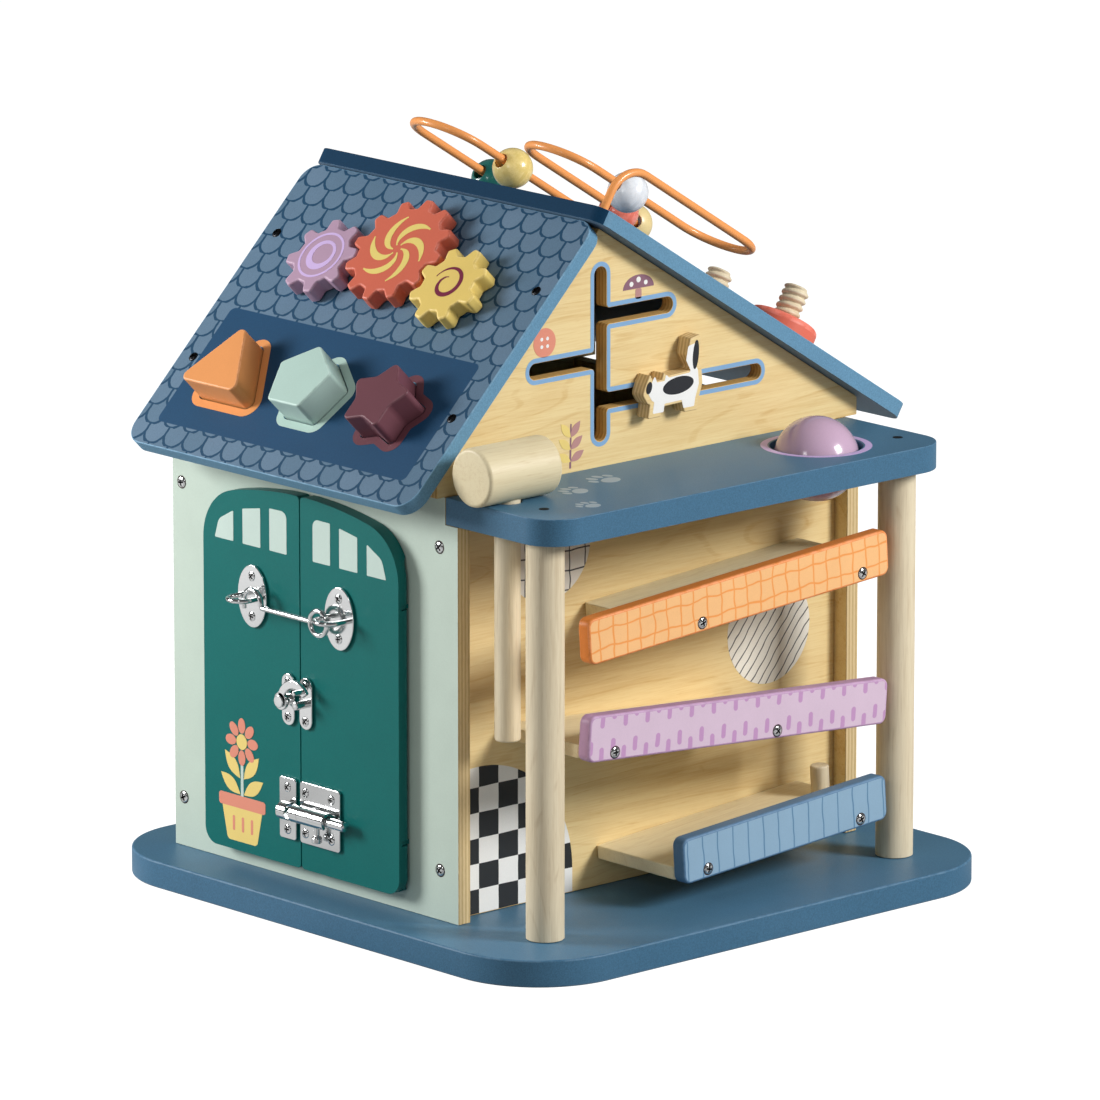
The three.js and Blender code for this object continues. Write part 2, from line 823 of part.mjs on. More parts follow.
function beadWire() {
  const route = new Route(new THREE.Vector3(wire_foot_t, wire_first_y, -ply), axis_z);
  route.run(ply + wire_height - wire_bend).bend(wire_bend, axis_y, quarter_turn);
  route.run(wire_low_t - wire_foot_t - wire_bend);
  for (let leg = 1; leg < wire_leg_count; leg += 1) {
    const at_low_end = leg % 2 === 1;
    const turn_axis = at_low_end ? axis_z : axis_z.clone().negate();
    const last_leg = leg === wire_leg_count - 1;
    const straight = last_leg ? wire_end_t - wire_bend - wire_high_t : wire_low_t - wire_high_t;
    route.bend(wire_turn_radius, turn_axis, Math.PI, 2 * bend_steps).run(straight);
  }
  route.bend(wire_bend, axis_y, quarter_turn).run(ply + wire_height - wire_bend);
  return route.wire(wire_diameter);
}

const stud_places = [stud_front_y, stud_front_y + stud_pitch_y];

function rightRoof() {
  const outline = roundedOutline([
    [0, -right_roof_front, right_ridge_corner],
    [right_roof_length, -right_roof_front, right_roof_corner],
    [right_roof_length, house_depth - right_roof_rear, right_roof_corner],
    [0, house_depth - right_roof_rear, right_ridge_corner],
  ]);
  const board = slab(outline, ply).translate(0, 0, -ply);
  const foot_hole = upright(wire_diameter / 2 + joint_gap, -ply - overrun, overrun, small_round_sides);
  const spigot_hole = upright(stud_spigot_diameter / 2 + joint_gap, -ply - overrun, overrun);
  return cut(board,
    foot_hole.clone().translate(wire_foot_t, wire_first_y, 0),
    foot_hole.clone().translate(wire_end_t, wire_last_y, 0),
    ...stud_places.map((y) => spigot_hole.clone().translate(stud_t, y, 0)));
}
add(right_roof, 'roof_right', rightRoof(), slate_paint);
add(right_roof, 'bead_wire', beadWire(), orange_wire);

// A bead about the X axis: a ball with a bore, whose profile closes on itself
function bead() {
  const radius = bead_diameter / 2;
  const lip = Math.asin(bead_bore / bead_diameter);
  const profile = [];
  for (let i = 0; i <= bead_rings; i += 1) {
    const angle = lip + (Math.PI - 2 * lip) * i / bead_rings;
    profile.push([radius * Math.sin(angle), -radius * Math.cos(angle)]);
  }
  profile.push(profile[0]);
  return turned(profile, bead_sides).rotateY(quarter_turn);
}

// The natural bead lies in the low bend between the third and fourth legs, and the coral one
// rests against it on the third leg
const natural_bead_radius = wire_turn_radius - natural_bead_inset;
const natural_bead_t = wire_low_t + natural_bead_radius * Math.cos(natural_bead_angle);
const natural_bead_reach = wire_turn_radius + natural_bead_radius * Math.sin(natural_bead_angle);
const coral_bead_t = natural_bead_t
  - Math.sqrt((bead_diameter + bead_rest_gap) ** 2 - natural_bead_reach ** 2);
const bead_height = wire_height - bead_drop;
const beads = [
  { name: 'bead_white', t: white_bead_t, leg: 1, paint: white_paint },
  { name: 'bead_coral', t: coral_bead_t, leg: 2, paint: coral_paint },
  { name: 'bead_yellow', t: yellow_bead_t, leg: 3, paint: yellow_paint },
  { name: 'bead_green', t: green_bead_t, leg: 4, paint: green_paint },
];
for (const { name, t, leg, paint } of beads) {
  add(right_roof, name, bead().translate(t, wire_first_y + leg * wire_leg_pitch, bead_height), paint);
}

const natural_bead = bead().rotateZ(natural_bead_angle + quarter_turn).translate(
  natural_bead_t, wire_first_y + 2 * wire_leg_pitch + natural_bead_reach, wire_height);
add(right_roof, 'bead_natural', natural_bead, natural_wood);

// Threaded studs stand in the roof on a spigot, and a round nut sits on each
function stud() {
  const radius = stud_diameter / 2;
  return turned([
    [0, -ply],
    [stud_spigot_diameter / 2, -ply],
    [stud_spigot_diameter / 2, joint_gap],
    [radius, joint_gap],
    [radius, stud_height - stud_chamfer],
    [radius - stud_chamfer, stud_height],
    [0, stud_height],
  ]);
}

function nut() {
  const radius = nut_diameter / 2;
  const bore = stud_diameter / 2 + joint_gap;
  const top = joint_gap + nut_height;
  const soft = nut_edge * mitre_share;
  return turned([
    [bore, joint_gap],
    [radius - nut_edge, joint_gap],
    [radius - soft * mitre_share, joint_gap + soft * mitre_share],
    [radius, joint_gap + nut_edge],
    [radius, top - nut_edge],
    [radius - soft * mitre_share, top - soft * mitre_share],
    [radius - nut_edge, top],
    [bore, top],
    [bore, joint_gap],
  ]);
}

stud_places.forEach((y, i) => {
  const place = i === 0 ? 'front' : 'rear';
  add(right_roof, `stud_${place}`, stud().translate(stud_t, y, 0), natural_wood);
  add(right_roof, `nut_${place}`, nut().translate(stud_t, y, 0), coral_paint);
});

// The porch deck and its two posts
const ball_x = house_width - ball_inset;

function porchDeck() {
  const deck_end = house_width - deck_trim;
  const outline = roundedOutline([
    [0, -deck_reach, deck_corner],
    [deck_end, -deck_reach, deck_corner],
    [deck_end, deck_lap, small_edge],
    [0, deck_lap, small_edge],
  ]);
  const mallet_hole = mallet_handle_diameter / 2 + mallet_hole_play;
  outline.holes.push(roundHole(ball_x, ball_y, ball_hole_diameter / 2));
  outline.holes.push(roundHole(mallet_x, mallet_y, mallet_hole));
  return slab(outline, deck_thickness, 12).translate(0, 0, deck_bottom);
}
add(house, 'porch_deck', porchDeck(), blue_paint);

const post = upright(post_diameter / 2, joint_gap, deck_bottom - joint_gap);
add(house, 'post_left', post.clone().translate(post_inset_left, post_y, 0), natural_wood);
add(house, 'post_right', post.clone().translate(house_width - post_inset_right, post_y, 0), natural_wood);

// Each ramp is a board behind a front rail; both lean by the same angle about the rail's centre
const rail_end_x = house_width - rail_inset_right;
const runs = [
  { name: 'upper', start_x: rail_inset_left, height_share: upper_rail_share, lean: 1, to_right: true,
    paint: orange_paint },
  { name: 'middle', start_x: rail_inset_left, height_share: middle_rail_share, lean: -1, to_right: false,
    paint: lilac_paint },
  { name: 'lower', start_x: lower_rail_inset_left, height_share: lower_rail_share, lean: 1, to_right: true,
    paint: slate_paint },
];

for (const { name, start_x, height_share, lean, to_right, paint } of runs) {
  const length = rail_end_x - start_x;
  const frame = new THREE.Group();
  frame.position.set((start_x + rail_end_x) / 2, 0, height_share * deck_bottom);
  frame.rotation.y = -lean * ramp_pitch;
  house.add(frame);

  const rail = rectangle(-length / 2, -rail_height / 2, length / 2, rail_height / 2, rail_corner);
  add(frame, `ramp_rail_${name}`, standing(rail, rail_back - rail_thickness, rail_thickness),
    paint);

  const far_end = length / 2 - ramp_inset;
  const board_length = Math.min(ramp_length, 2 * far_end);
  const start = to_right ? far_end - board_length : -far_end;
  const board = rectangle(start, rail_back + joint_gap, start + board_length,
    front_wall_y - joint_gap, ramp_corner);
  const board_bottom = -ramp_drop - ramp_thickness / 2;
  add(frame, `ramp_board_${name}`, slab(board, ramp_thickness, 1).translate(0, 0, board_bottom),
    natural_wood);

  if (name === 'lower') {
    const seat = board_bottom + ramp_thickness + joint_gap;
    const peg = upright(peg_diameter / 2, seat, seat + peg_height);
    add(frame, 'ramp_peg', peg.translate(far_end - peg_inset, peg_y, 0), natural_wood);
  }
}

// The ball rests in an elastic ring at mid deck
function ball() {
  const radius = ball_diameter / 2;
  const profile = [];
  for (let i = 0; i <= ball_rings; i += 1) {
    const angle = Math.PI * i / ball_rings;
    profile.push([radius * Math.sin(angle), -radius * Math.cos(angle)]);
  }
  profile[0][0] = 0;
  profile[ball_rings][0] = 0;
  return turned(profile);
}

function ballRing() {
  const inner = ball_diameter / 2 + ring_play;
  const outer = ball_hole_diameter / 2 - joint_gap;
  const half = ring_height / 2;
  return turned([[inner, -half], [outer, -half], [outer, half], [inner, half], [inner, -half]],
    large_round_sides);
}

const ball_z = deck_bottom + deck_thickness / 2;
add(house, 'ball', ball().translate(ball_x, ball_y, ball_z), lilac_paint);
add(house, 'ball_ring', ballRing().translate(ball_x, ball_y, ball_z), dark_rubber);

// The mallet hangs by its head on the deck, with its handle down through the hole
const mallet_z = deck_top + joint_gap + mallet_head_diameter / 2;

function malletHead() {
  const radius = mallet_head_diameter / 2;
  const half = mallet_head_length / 2;
  const body = turned([
    [0, -half],
    [radius - mallet_edge, -half],
    [radius, -half + mallet_edge],
    [radius, half - mallet_edge],
    [radius - mallet_edge, half],
    [0, half],
  ], large_round_sides).rotateY(quarter_turn);
  const socket = upright(mallet_handle_diameter / 2 + joint_gap, -mallet_head_diameter,
    mallet_socket_depth - radius);
  return cut(body, socket).translate(mallet_x, mallet_y, mallet_z);
}

function malletHandle() {
  const radius = mallet_handle_diameter / 2;
  const top = mallet_socket_depth - mallet_head_diameter / 2 - joint_gap;
  return turned([
    [0, -mallet_handle_drop],
    [radius - handle_edge, -mallet_handle_drop],
    [radius, handle_edge - mallet_handle_drop],
    [radius, top],
    [0, top],
  ]).translate(mallet_x, mallet_y, mallet_z);
}
add(house, 'mallet_head', malletHead(), natural_wood);
add(house, 'mallet_handle', malletHandle(), natural_wood);

// The cat figure: corners as shares of its length and height from the pin, and of its corner radius
const cat_shares = [
  [-0.42, -0.286, 0.8], [-0.22, -0.286, 0.8], [-0.2, -0.16, 0.8], [0.12, -0.15, 0.8],
  [0.15, -0.286, 0.8], [0.35, -0.286, 0.8], [0.37, -0.16, 1], [0.44, 0.06, 3],
  [0.42, 0.28, 2.4], [0.32, 0.47, 2], [0.42, 0.6, 1.4], [0.4, 0.714, 1],
  [0.24, 0.68, 1.4], [0.2, 0.46, 2.4], [0.3, 0.26, 1.2], [-0.12, 0.24, 2.2],
  [-0.17, 0.3, 0.6], [-0.2, 0.2, 0.6], [-0.34, 0.2, 0.6], [-0.38, 0.31, 0.6],
  [-0.45, 0.18, 0.8], [-0.5, 0.04, 2.4], [-0.43, -0.08, 1.6], [-0.39, -0.1, 0.8],
];

function catSlider() {
  const outline = roundedOutline(cat_shares.map(([u, v, corner]) => (
    [u * cat_length, v * cat_height, corner * cat_corner * mitre_share])));
  const body = standing(outline, 0, cat_thickness, 2);
  const pin_end = cat_thickness + running_gap + ply + 2 * running_gap + washer_thickness;
  const pin = alongY(cat_pin_diameter / 2, cat_thickness / 2, pin_end);
  return join(body, pin);
}

const cat_front_y = front_wall_y - running_gap - cat_thickness;

function sliderWasher() {
  const bore = cat_pin_diameter / 2 + joint_gap;
  const outer = washer_diameter / 2;
  return turned([[bore, 0], [outer, 0], [outer, washer_thickness], [bore, washer_thickness], [bore, 0]])
    .rotateX(-quarter_turn).translate(cat_x, front_wall_y + ply + running_gap, slot_cat_z);
}
add(house, 'cat_slider', catSlider().translate(cat_x, cat_front_y, slot_cat_z), natural_wood);
add(house, 'slider_washer', sliderWasher(), natural_wood);

// Door leaves. The right leaf is the one nearer the porch; the left leaf mirrors it.
const leaf_inner_right = seam_y - seam_gap / 2;
const leaf_inner_left = seam_y + seam_gap / 2;

// The whole arch, cut down to one leaf with small corners at the seam
function doorLeaf(is_right) {
  const arch = sideways(archOutline(door_start_y, door_end_y, door_bottom, 0, leaf_bottom_corner),
    leaf_face_x, door_thickness, 5);
  const side = is_right ? 1 : -1;
  const outer = is_right ? door_start_y : door_end_y;
  const inner = is_right ? leaf_inner_right : leaf_inner_left;
  const far = outer - side * overrun;
  const seam_top = arch_height - seam_gap * mitre_share;
  const half_corners = side > 0
    ? [[far, door_bottom - overrun, small_edge], [inner, door_bottom, leaf_seam_corner],
      [inner, seam_top, leaf_seam_corner], [far, arch_height + overrun, small_edge]]
    : [[inner, door_bottom, leaf_seam_corner], [far, door_bottom - overrun, small_edge],
      [far, arch_height + overrun, small_edge], [inner, seam_top, leaf_seam_corner]];
  const half = sideways(roundedOutline(half_corners), leaf_face_x - overrun,
    door_thickness + 2 * overrun);
  const leaf = solid(arch).intersect(solid(half));

  const hinge_y = is_right ? hinge_right_y : hinge_left_y;
  const corner = cut(
    block(hinge_axis_x, leaf_back_x + overrun, Math.min(far, hinge_y), Math.max(far, hinge_y),
      -overrun, arch_height + overrun),
    upright(hinge_inset, -2 * overrun, arch_height + 2 * overrun).translate(hinge_axis_x, hinge_y, 0));
  const bore = upright(hinge_pin_diameter / 2 + joint_gap, -overrun, hinge_pin_top + joint_gap,
    small_round_sides).translate(hinge_axis_x, hinge_y, 0);
  const reach = hinge_strap_width / 2 + joint_gap;
  const notches = [hinge_low_z, hinge_high_z].map((z) => {
    const z0 = z - joint_gap;
    const z1 = z + hinge_strap_thickness + joint_gap;
    const eye = upright(hinge_eye_radius + joint_gap, z0, z1).translate(hinge_axis_x, hinge_y, 0);
    const mouth = block(hinge_axis_x - reach, leaf_back_x + overrun,
      Math.min(far, hinge_y + side * reach), Math.max(far, hinge_y + side * reach), z0, z1);
    return join(eye, mouth);
  });
  return cut(geometryOf(leaf), corner, bore, ...notches);
}
add(house, 'door_right', doorLeaf(true), teal_paint);
add(house, 'door_left', doorLeaf(false), teal_paint);

// Hinge eyes and pins stay with the house
const bracket_names = ['right_low', 'right_high', 'left_low', 'left_high'];
hingePlaces().forEach(([y, z], i) => {
  const bore = upright(hinge_pin_diameter / 2 + joint_gap / 2, -overrun, overrun, small_round_sides);
  add(house, `hinge_bracket_${bracket_names[i]}`,
    cut(hingeEye(0), bore).translate(hinge_axis_x, y, z), zinc_steel);
});
for (const [name, y] of [['right', hinge_right_y], ['left', hinge_left_y]]) {
  const pin = upright(hinge_pin_diameter / 2, hinge_pin_bottom, hinge_pin_top, small_round_sides);
  add(house, `hinge_pin_${name}`, pin.translate(hinge_axis_x, y, 0), zinc_steel);
}

// Everything on the doors stands in front of their faces: this gives x from a stand-off
function infront(distance) {
  return leaf_face_x - joint_gap - distance;
}

function facePlate(outline) {
  return sideways(outline, infront(plate_thickness), plate_thickness);
}

// Hook plate and catch plate: an oval plate with a half-ring staple
function staplePlate(y) {
  const width = hook_plate_width / 2;
  const height = hook_plate_height / 2;
  const oval = new THREE.Shape().absellipse(y, hook_z, width, height, 0, full_turn);
  const plate = sideways(oval, infront(plate_thickness), plate_thickness, 10);
  const legs = staple_reach - staple_wire / 2 - staple_half_width;
  const start = new THREE.Vector3(infront(plate_thickness / 2), y - staple_half_width, hook_z);
  const route = new Route(start, axis_x.clone().negate());
  route.run(legs - plate_thickness / 2);
  route.bend(staple_half_width, axis_z.clone().negate(), Math.PI, 2 * bend_steps);
  route.run(legs - plate_thickness / 2);
  return join(plate, route.wire(staple_wire));
}

const hook_plate_y = seam_y - hook_plate_offset;
const catch_plate_y = seam_y + catch_plate_offset;

// The hook's ring hangs on the near leg of its staple, pulled a little towards the far one
const hook_hang = hook_ring_radius - hook_wire / 2 - staple_wire / 2 - joint_gap;
const hook_pivot_y = hook_plate_y + staple_half_width + hook_hang * Math.cos(hook_hang_angle);
const hook_pivot_z = hook_z + hook_hang * Math.sin(hook_hang_angle);

// The hook: a ring round the near staple, a straight rod, and an arch over the far staple
function doorHook() {
  const start = new THREE.Vector3(0, hook_ring_radius, 0);
  const loop = new Route(start, axis_z)
    .bend(hook_ring_radius, axis_x, full_turn * closed_ring_share, hook_ring_steps);
  const arch_y = catch_plate_y - staple_half_width;
  const rod_end = arch_y - hook_arch_radius - hook_fillet - hook_pivot_y;
  const rod = new Route(start.clone().setY(hook_ring_radius), axis_y);
  rod.run(rod_end - hook_ring_radius);
  rod.bend(hook_fillet, axis_x, quarter_turn, 3);
  rod.bend(hook_arch_radius, axis_x.clone().negate(), Math.PI, 2 * bend_steps);
  rod.run(hook_tip_drop);
  const plug = alongX(hook_wire / 2, -hook_wire / 2, hook_wire / 2, wire_sides).translate(0, hook_ring_radius, 0);
  return join(loop.wire(hook_wire), rod.wire(hook_wire), plug)
    .translate(infront(hook_stand), hook_pivot_y, hook_pivot_z);
}
add(house, 'hook_plate', staplePlate(hook_plate_y), chrome);
add(house, 'hook_catch_plate', staplePlate(catch_plate_y), chrome);
add(house, 'hook', doorHook(), chrome);

// Swivel latch: a crescent on the left leaf reaches over a headless stud on the right leaf
const swivel_pivot_y = seam_y + swivel_plate_offset;
const swivel_stud_y = seam_y - swivel_stud_offset;

function swivelPlate(y) {
  const half = swivel_plate_width / 2;
  return facePlate(rectangle(y - half, swivel_z - swivel_plate_height / 2, y + half,
    swivel_z + swivel_plate_height / 2, swivel_plate_width * slot_end_share));
}

function frontPin(diameter, y, z, from, to) {
  return alongX(diameter / 2, infront(to), infront(from), small_round_sides).translate(0, y, z);
}

function swivelHook() {
  const arc_centre = -swivel_inner_radius - (swivel_outer_radius - swivel_inner_radius) / 2;
  const outline = new THREE.Shape();
  outline.absarc(arc_centre, 0, swivel_outer_radius, 0, swivel_tip_angle);
  outline.absarc(arc_centre, 0, swivel_inner_radius, swivel_tip_angle, 0, true);
  const crescent = sideways(outline, 0, swivel_thickness, 5);
  const eye = alongX(swivel_eye_radius, 0, swivel_thickness);
  const bore = alongX(swivel_pin_diameter / 2 + joint_gap, -overrun, overrun, small_round_sides);
  const middle_radius = (swivel_inner_radius + swivel_outer_radius) / 2;
  const finger_angle = swivel_tip_angle - Math.asin(swivel_finger_diameter / middle_radius);
  const finger = alongX(swivel_finger_diameter / 2, -swivel_finger_reach, swivel_thickness / 2,
    small_round_sides).translate(0, arc_centre + middle_radius * Math.cos(finger_angle),
    middle_radius * Math.sin(finger_angle));
  return cut(join(crescent, eye, finger), bore)
    .translate(infront(swivel_stand + swivel_thickness), swivel_pivot_y, swivel_z);
}

const swivel_pin_end = swivel_stand + swivel_thickness + running_gap;
add(house, 'swivel_plate', join(swivelPlate(swivel_pivot_y),
  frontPin(swivel_pin_diameter, swivel_pivot_y, swivel_z, plate_thickness / 2, swivel_pin_end),
  frontPin(swivel_eye_radius, swivel_pivot_y, swivel_z, swivel_pin_end, swivel_pin_end + plate_thickness),
  frontPin(swivel_eye_radius, swivel_pivot_y, swivel_z, plate_thickness / 2, swivel_stand - running_gap)),
chrome);
add(house, 'swivel_stud_plate', join(swivelPlate(swivel_stud_y),
  frontPin(swivel_stud_diameter, swivel_stud_y, swivel_z, plate_thickness / 2, swivel_stud_reach)),
chrome);
add(house, 'swivel_hook', swivelHook(), chrome);

// Barrel bolt: its rod is pushed home, with its end level with the keeper on the left leaf
const bolt_plate_end = leaf_inner_right - bolt_plate_inset;
const bolt_plate_start = bolt_plate_end - bolt_plate_length;
const keeper_start = leaf_inner_left + keeper_inset;
const rod_end_y = keeper_start + keeper_strap_length - rod_end_inset;
const handle_y = rod_end_y - bolt_handle_inset;

function boltHousing(y0, y1, strap_start, strap_end, play) {
  const half = bolt_plate_height / 2;
  const plate = facePlate(rectangle(y0, bolt_z - half, y1, bolt_z + half, bolt_plate_corner));
  const barrel = alongY(barrel_diameter / 2, strap_start, strap_end)
    .translate(infront(bolt_stand), 0, bolt_z);
  const foot = block(infront(bolt_stand), infront(plate_thickness / 2), strap_start, strap_end,
    bolt_z - barrel_foot_width / 2, bolt_z + barrel_foot_width / 2);
  const bore = alongY(rod_diameter / 2 + play, strap_start - overrun, strap_end + overrun)
    .translate(infront(bolt_stand), 0, bolt_z);
  return cut(join(plate, barrel, foot), bore);
}

function boltPlate() {
  const housing = boltHousing(bolt_plate_start, bolt_plate_end, bolt_plate_start + barrel_inset,
    bolt_plate_end, joint_gap);
  const reach = bolt_handle_diameter / 2 + running_gap;
  const slot = block(infront(bolt_stand) - reach, infront(bolt_stand) + reach,
    bolt_plate_start, bolt_plate_end - bolt_slot_margin, bolt_z - barrel_diameter, bolt_z);
  return cut(housing, slot);
}

function boltRod() {
  const radius = rod_diameter / 2;
  const rod = turned([
    [0, -rod_length],
    [radius - rod_dome, -rod_length],
    [radius, rod_dome - rod_length],
    [radius, -rod_dome],
    [radius - rod_dome, 0],
    [0, 0],
  ]).rotateX(-quarter_turn);
  const handle = upright(bolt_handle_diameter / 2, -bolt_handle_reach, 0, small_round_sides);
  const foot = upright(bolt_foot_diameter / 2, -bolt_handle_reach, bolt_foot_height - bolt_handle_reach);
  const drop = -bolt_handle_inset;
  return join(rod, handle.translate(0, drop, 0), foot.translate(0, drop, 0))
    .translate(infront(bolt_stand), rod_end_y, bolt_z);
}
add(house, 'bolt_plate', boltPlate(), chrome);
add(house, 'bolt_keeper', boltHousing(keeper_start, keeper_start + keeper_length, keeper_start,
  keeper_start + keeper_strap_length, keeper_play), chrome);
add(house, 'bolt_rod', boltRod(), chrome);

// The frame's origin is under the middle of the whole house, on the surface that it stands on
house.position.set(
  (base_left - house_width - right_eave) / 2,
  (base_front - house_depth - base_rear) / 2,
  base_thickness);

const part = new THREE.Group();
part.add(house);

export default part;
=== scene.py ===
# %% [markdown]
# # A wooden activity house, dressed for its portrait
# The toy is a small plywood house on a base plate. It has a porch with three sloping ball
# runs, a roof with gears and shape blocks, a roof with a bead wire and screw-on nuts, and a
# pair of arched doors with three metal latches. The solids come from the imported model, and
# each cell below takes one piece or one finish and gives it the look of the real thing.

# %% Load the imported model
import math

import bpy
from mathutils import Matrix, Vector


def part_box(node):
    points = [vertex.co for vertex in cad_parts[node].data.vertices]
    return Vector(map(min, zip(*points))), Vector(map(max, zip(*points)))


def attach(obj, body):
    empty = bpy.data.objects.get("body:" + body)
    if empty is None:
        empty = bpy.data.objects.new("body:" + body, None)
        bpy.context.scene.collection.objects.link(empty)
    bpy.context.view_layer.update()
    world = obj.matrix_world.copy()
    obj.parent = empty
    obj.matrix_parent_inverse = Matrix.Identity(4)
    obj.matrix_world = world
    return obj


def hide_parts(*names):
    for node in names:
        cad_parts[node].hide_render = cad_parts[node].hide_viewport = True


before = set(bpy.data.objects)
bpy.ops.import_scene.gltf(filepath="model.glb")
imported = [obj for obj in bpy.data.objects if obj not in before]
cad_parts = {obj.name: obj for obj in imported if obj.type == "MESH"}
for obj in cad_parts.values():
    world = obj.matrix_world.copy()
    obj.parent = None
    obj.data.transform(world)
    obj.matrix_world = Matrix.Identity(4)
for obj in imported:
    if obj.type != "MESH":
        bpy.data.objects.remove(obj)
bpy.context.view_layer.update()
bpy.ops.object.select_all(action="DESELECT")

# %% [markdown]
# ## One set of measures
# A carpenter measures from one corner. Here it is the outer front bottom corner of the door
# wall, on top of the base plate, and every size is in millimetres. A frame is a matrix that
# takes such a measure to the model's own metres, so that a board is drawn flat first and
# then stood up, or leant on a roof, by its frame. The two roof frames run along the slope in
# X and stand on the board in Z.

# %% The frames that pieces are drawn in
MM = 0.001
JOINT = 0.3
PLY = 9.0
WALL_LENGTH = 247.9
HOUSE_WIDTH = 314.0
LEFT_EAVE, LEFT_PITCH = (-34.4, 0, 247.228), 45
RIDGE, RIGHT_PITCH = (111.439, 0, 401.116), 32
wall_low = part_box("door_wall")[0]
house_corner = Vector((wall_low.x, wall_low.y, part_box("base_plate")[1].z))


def shift(x, y, z):
    """A move by a measure in millimetres."""
    return Matrix.Translation((x, y, z))


def turn(degrees, axis):
    """A turn about X, Y or Z."""
    return Matrix.Rotation(math.radians(degrees), 4, axis)


HOUSE = Matrix.Translation(house_corner) @ Matrix.Scale(MM, 4)
LEFT_ROOF = HOUSE @ shift(*LEFT_EAVE) @ turn(-LEFT_PITCH, "Y")
RIGHT_ROOF = HOUSE @ shift(*RIDGE) @ turn(RIGHT_PITCH, "Y")
# An outline in X and Y stands up to face the porch, with its thickness towards the viewer
PORCH_SIDE = turn(90, "X")
# An outline in X and Y stands up along the door wall, with its thickness into the house
DOOR_SIDE = Matrix(((0, 0, 1, 0), (1, 0, 0, 0), (0, 1, 0, 0), (0, 0, 0, 1)))
print("corner of the door wall in mm", [round(1000 * side, 1) for side in house_corner])

# %% [markdown]
# ## How a board is made
# Every board starts as a ring of points on its outline. The ring is filled, holes and all,
# pulled up to the board's thickness, and its sharp edges are eased with a bevel, as a
# sander would do. The bevel matters more than any paint: a real edge always catches a thin
# line of light.

# %% Outlines
LEAST_RADIUS = 0.05


def arc(x, y, across, up, first, last, steps):
    """Points on part of an oval of two half widths, from one angle to another in radians."""
    points = []
    for k in range(steps + 1):
        angle = first + (last - first) * k / steps
        points.append((x + across * math.cos(angle), y + up * math.sin(angle)))
    return points


def rounded(corners, grow=0.0, steps=8):
    """Points round a closed outline whose corners are (x, y, radius), listed anticlockwise."""
    points = []
    for i, (x, y, radius) in enumerate(corners):
        here = Vector((x, y))
        back = (Vector(corners[i - 1][:2]) - here).normalized()
        ahead = (Vector(corners[(i + 1) % len(corners)][:2]) - here).normalized()
        side = 1 if ahead.cross(back) > 0 else -1
        half = math.acos(max(-1.0, min(1.0, back.dot(ahead)))) / 2
        inward = (back + ahead).normalized()
        radius = max(radius, LEAST_RADIUS - side * grow)
        centre = here + inward * (radius / math.sin(half))
        outward = math.atan2(-inward.y, -inward.x)
        sweep = side * (math.pi / 2 - half)
        reach = radius + side * grow
        points += arc(centre.x, centre.y, reach, reach, outward - sweep, outward + sweep, steps)
    return points


# %% Shapes made of arcs
def rectangle(x0, y0, x1, y1, radius, steps=8):
    """An upright rectangle with round corners."""
    return rounded([(x0, y0, radius), (x1, y0, radius), (x1, y1, radius), (x0, y1, radius)],
                   steps=steps)


def leant(points, x, y, lean):
    """An outline leaning by an angle in degrees, then moved to x and y."""
    c, s = math.cos(math.radians(lean)), math.sin(math.radians(lean))
    return [(x + px * c - py * s, y + px * s + py * c) for px, py in points]


def oval(x, y, across, up=None, lean=0.0, count=40):
    """An oval of two half widths, leaning by an angle in degrees."""
    ring = arc(0, 0, across, across if up is None else up, 0, 2 * math.pi, count)[:-1]
    return leant(ring, x, y, lean)


# %% Cut out a board
SHARP_ANGLE = math.radians(40)
SMOOTH_ANGLE = math.radians(38)
MERGE = 0.001
# How upright a face's normal stands: less than STEEP is an edge, more than FLAT is a face
STEEP, FLAT = 0.08, 0.995


def pick(piece):
    """Selects one piece alone and makes it the active one."""
    bpy.ops.object.select_all(action="DESELECT")
    piece.select_set(True)
    bpy.context.view_layer.objects.active = piece


def slab(name, loops, thickness, base=0.0):
    """A flat piece in millimetres: loops of points, the inner ones holes, pulled up from base."""
    bpy.ops.object.select_all(action="DESELECT")
    bpy.ops.mesh.primitive_circle_add(vertices=len(loops[0]), radius=1)
    piece = bpy.context.object
    piece.name = name
    bpy.ops.object.mode_set(mode="EDIT")
    for loop in loops[1:]:
        bpy.ops.mesh.primitive_circle_add(vertices=len(loop), radius=1)
    bpy.ops.object.mode_set(mode="OBJECT")
    for vertex, (x, y) in zip(piece.data.vertices, [p for loop in loops for p in loop]):
        vertex.co = (x, y, base)
    bpy.ops.object.mode_set(mode="EDIT")
    bpy.ops.mesh.select_all(action="SELECT")
    bpy.ops.mesh.fill()
    bpy.ops.mesh.dissolve_limited(angle_limit=math.radians(0.5))
    bpy.ops.mesh.select_all(action="SELECT")
    bpy.ops.mesh.extrude_region_move(TRANSFORM_OT_translate={"value": (0, 0, thickness)})
    bpy.ops.mesh.select_all(action="SELECT")
    bpy.ops.mesh.normals_make_consistent(inside=False)
    bpy.ops.object.mode_set(mode="OBJECT")
    return piece


# %% Ease its edges and take it to its place
def apply_modifier(piece, kind, **settings):
    """Adds a modifier with these settings and applies it."""
    pick(piece)
    modifier = piece.modifiers.new(kind.lower(), kind)
    for key, value in settings.items():
        setattr(modifier, key, value)
    bpy.ops.object.modifier_apply(modifier=modifier.name)


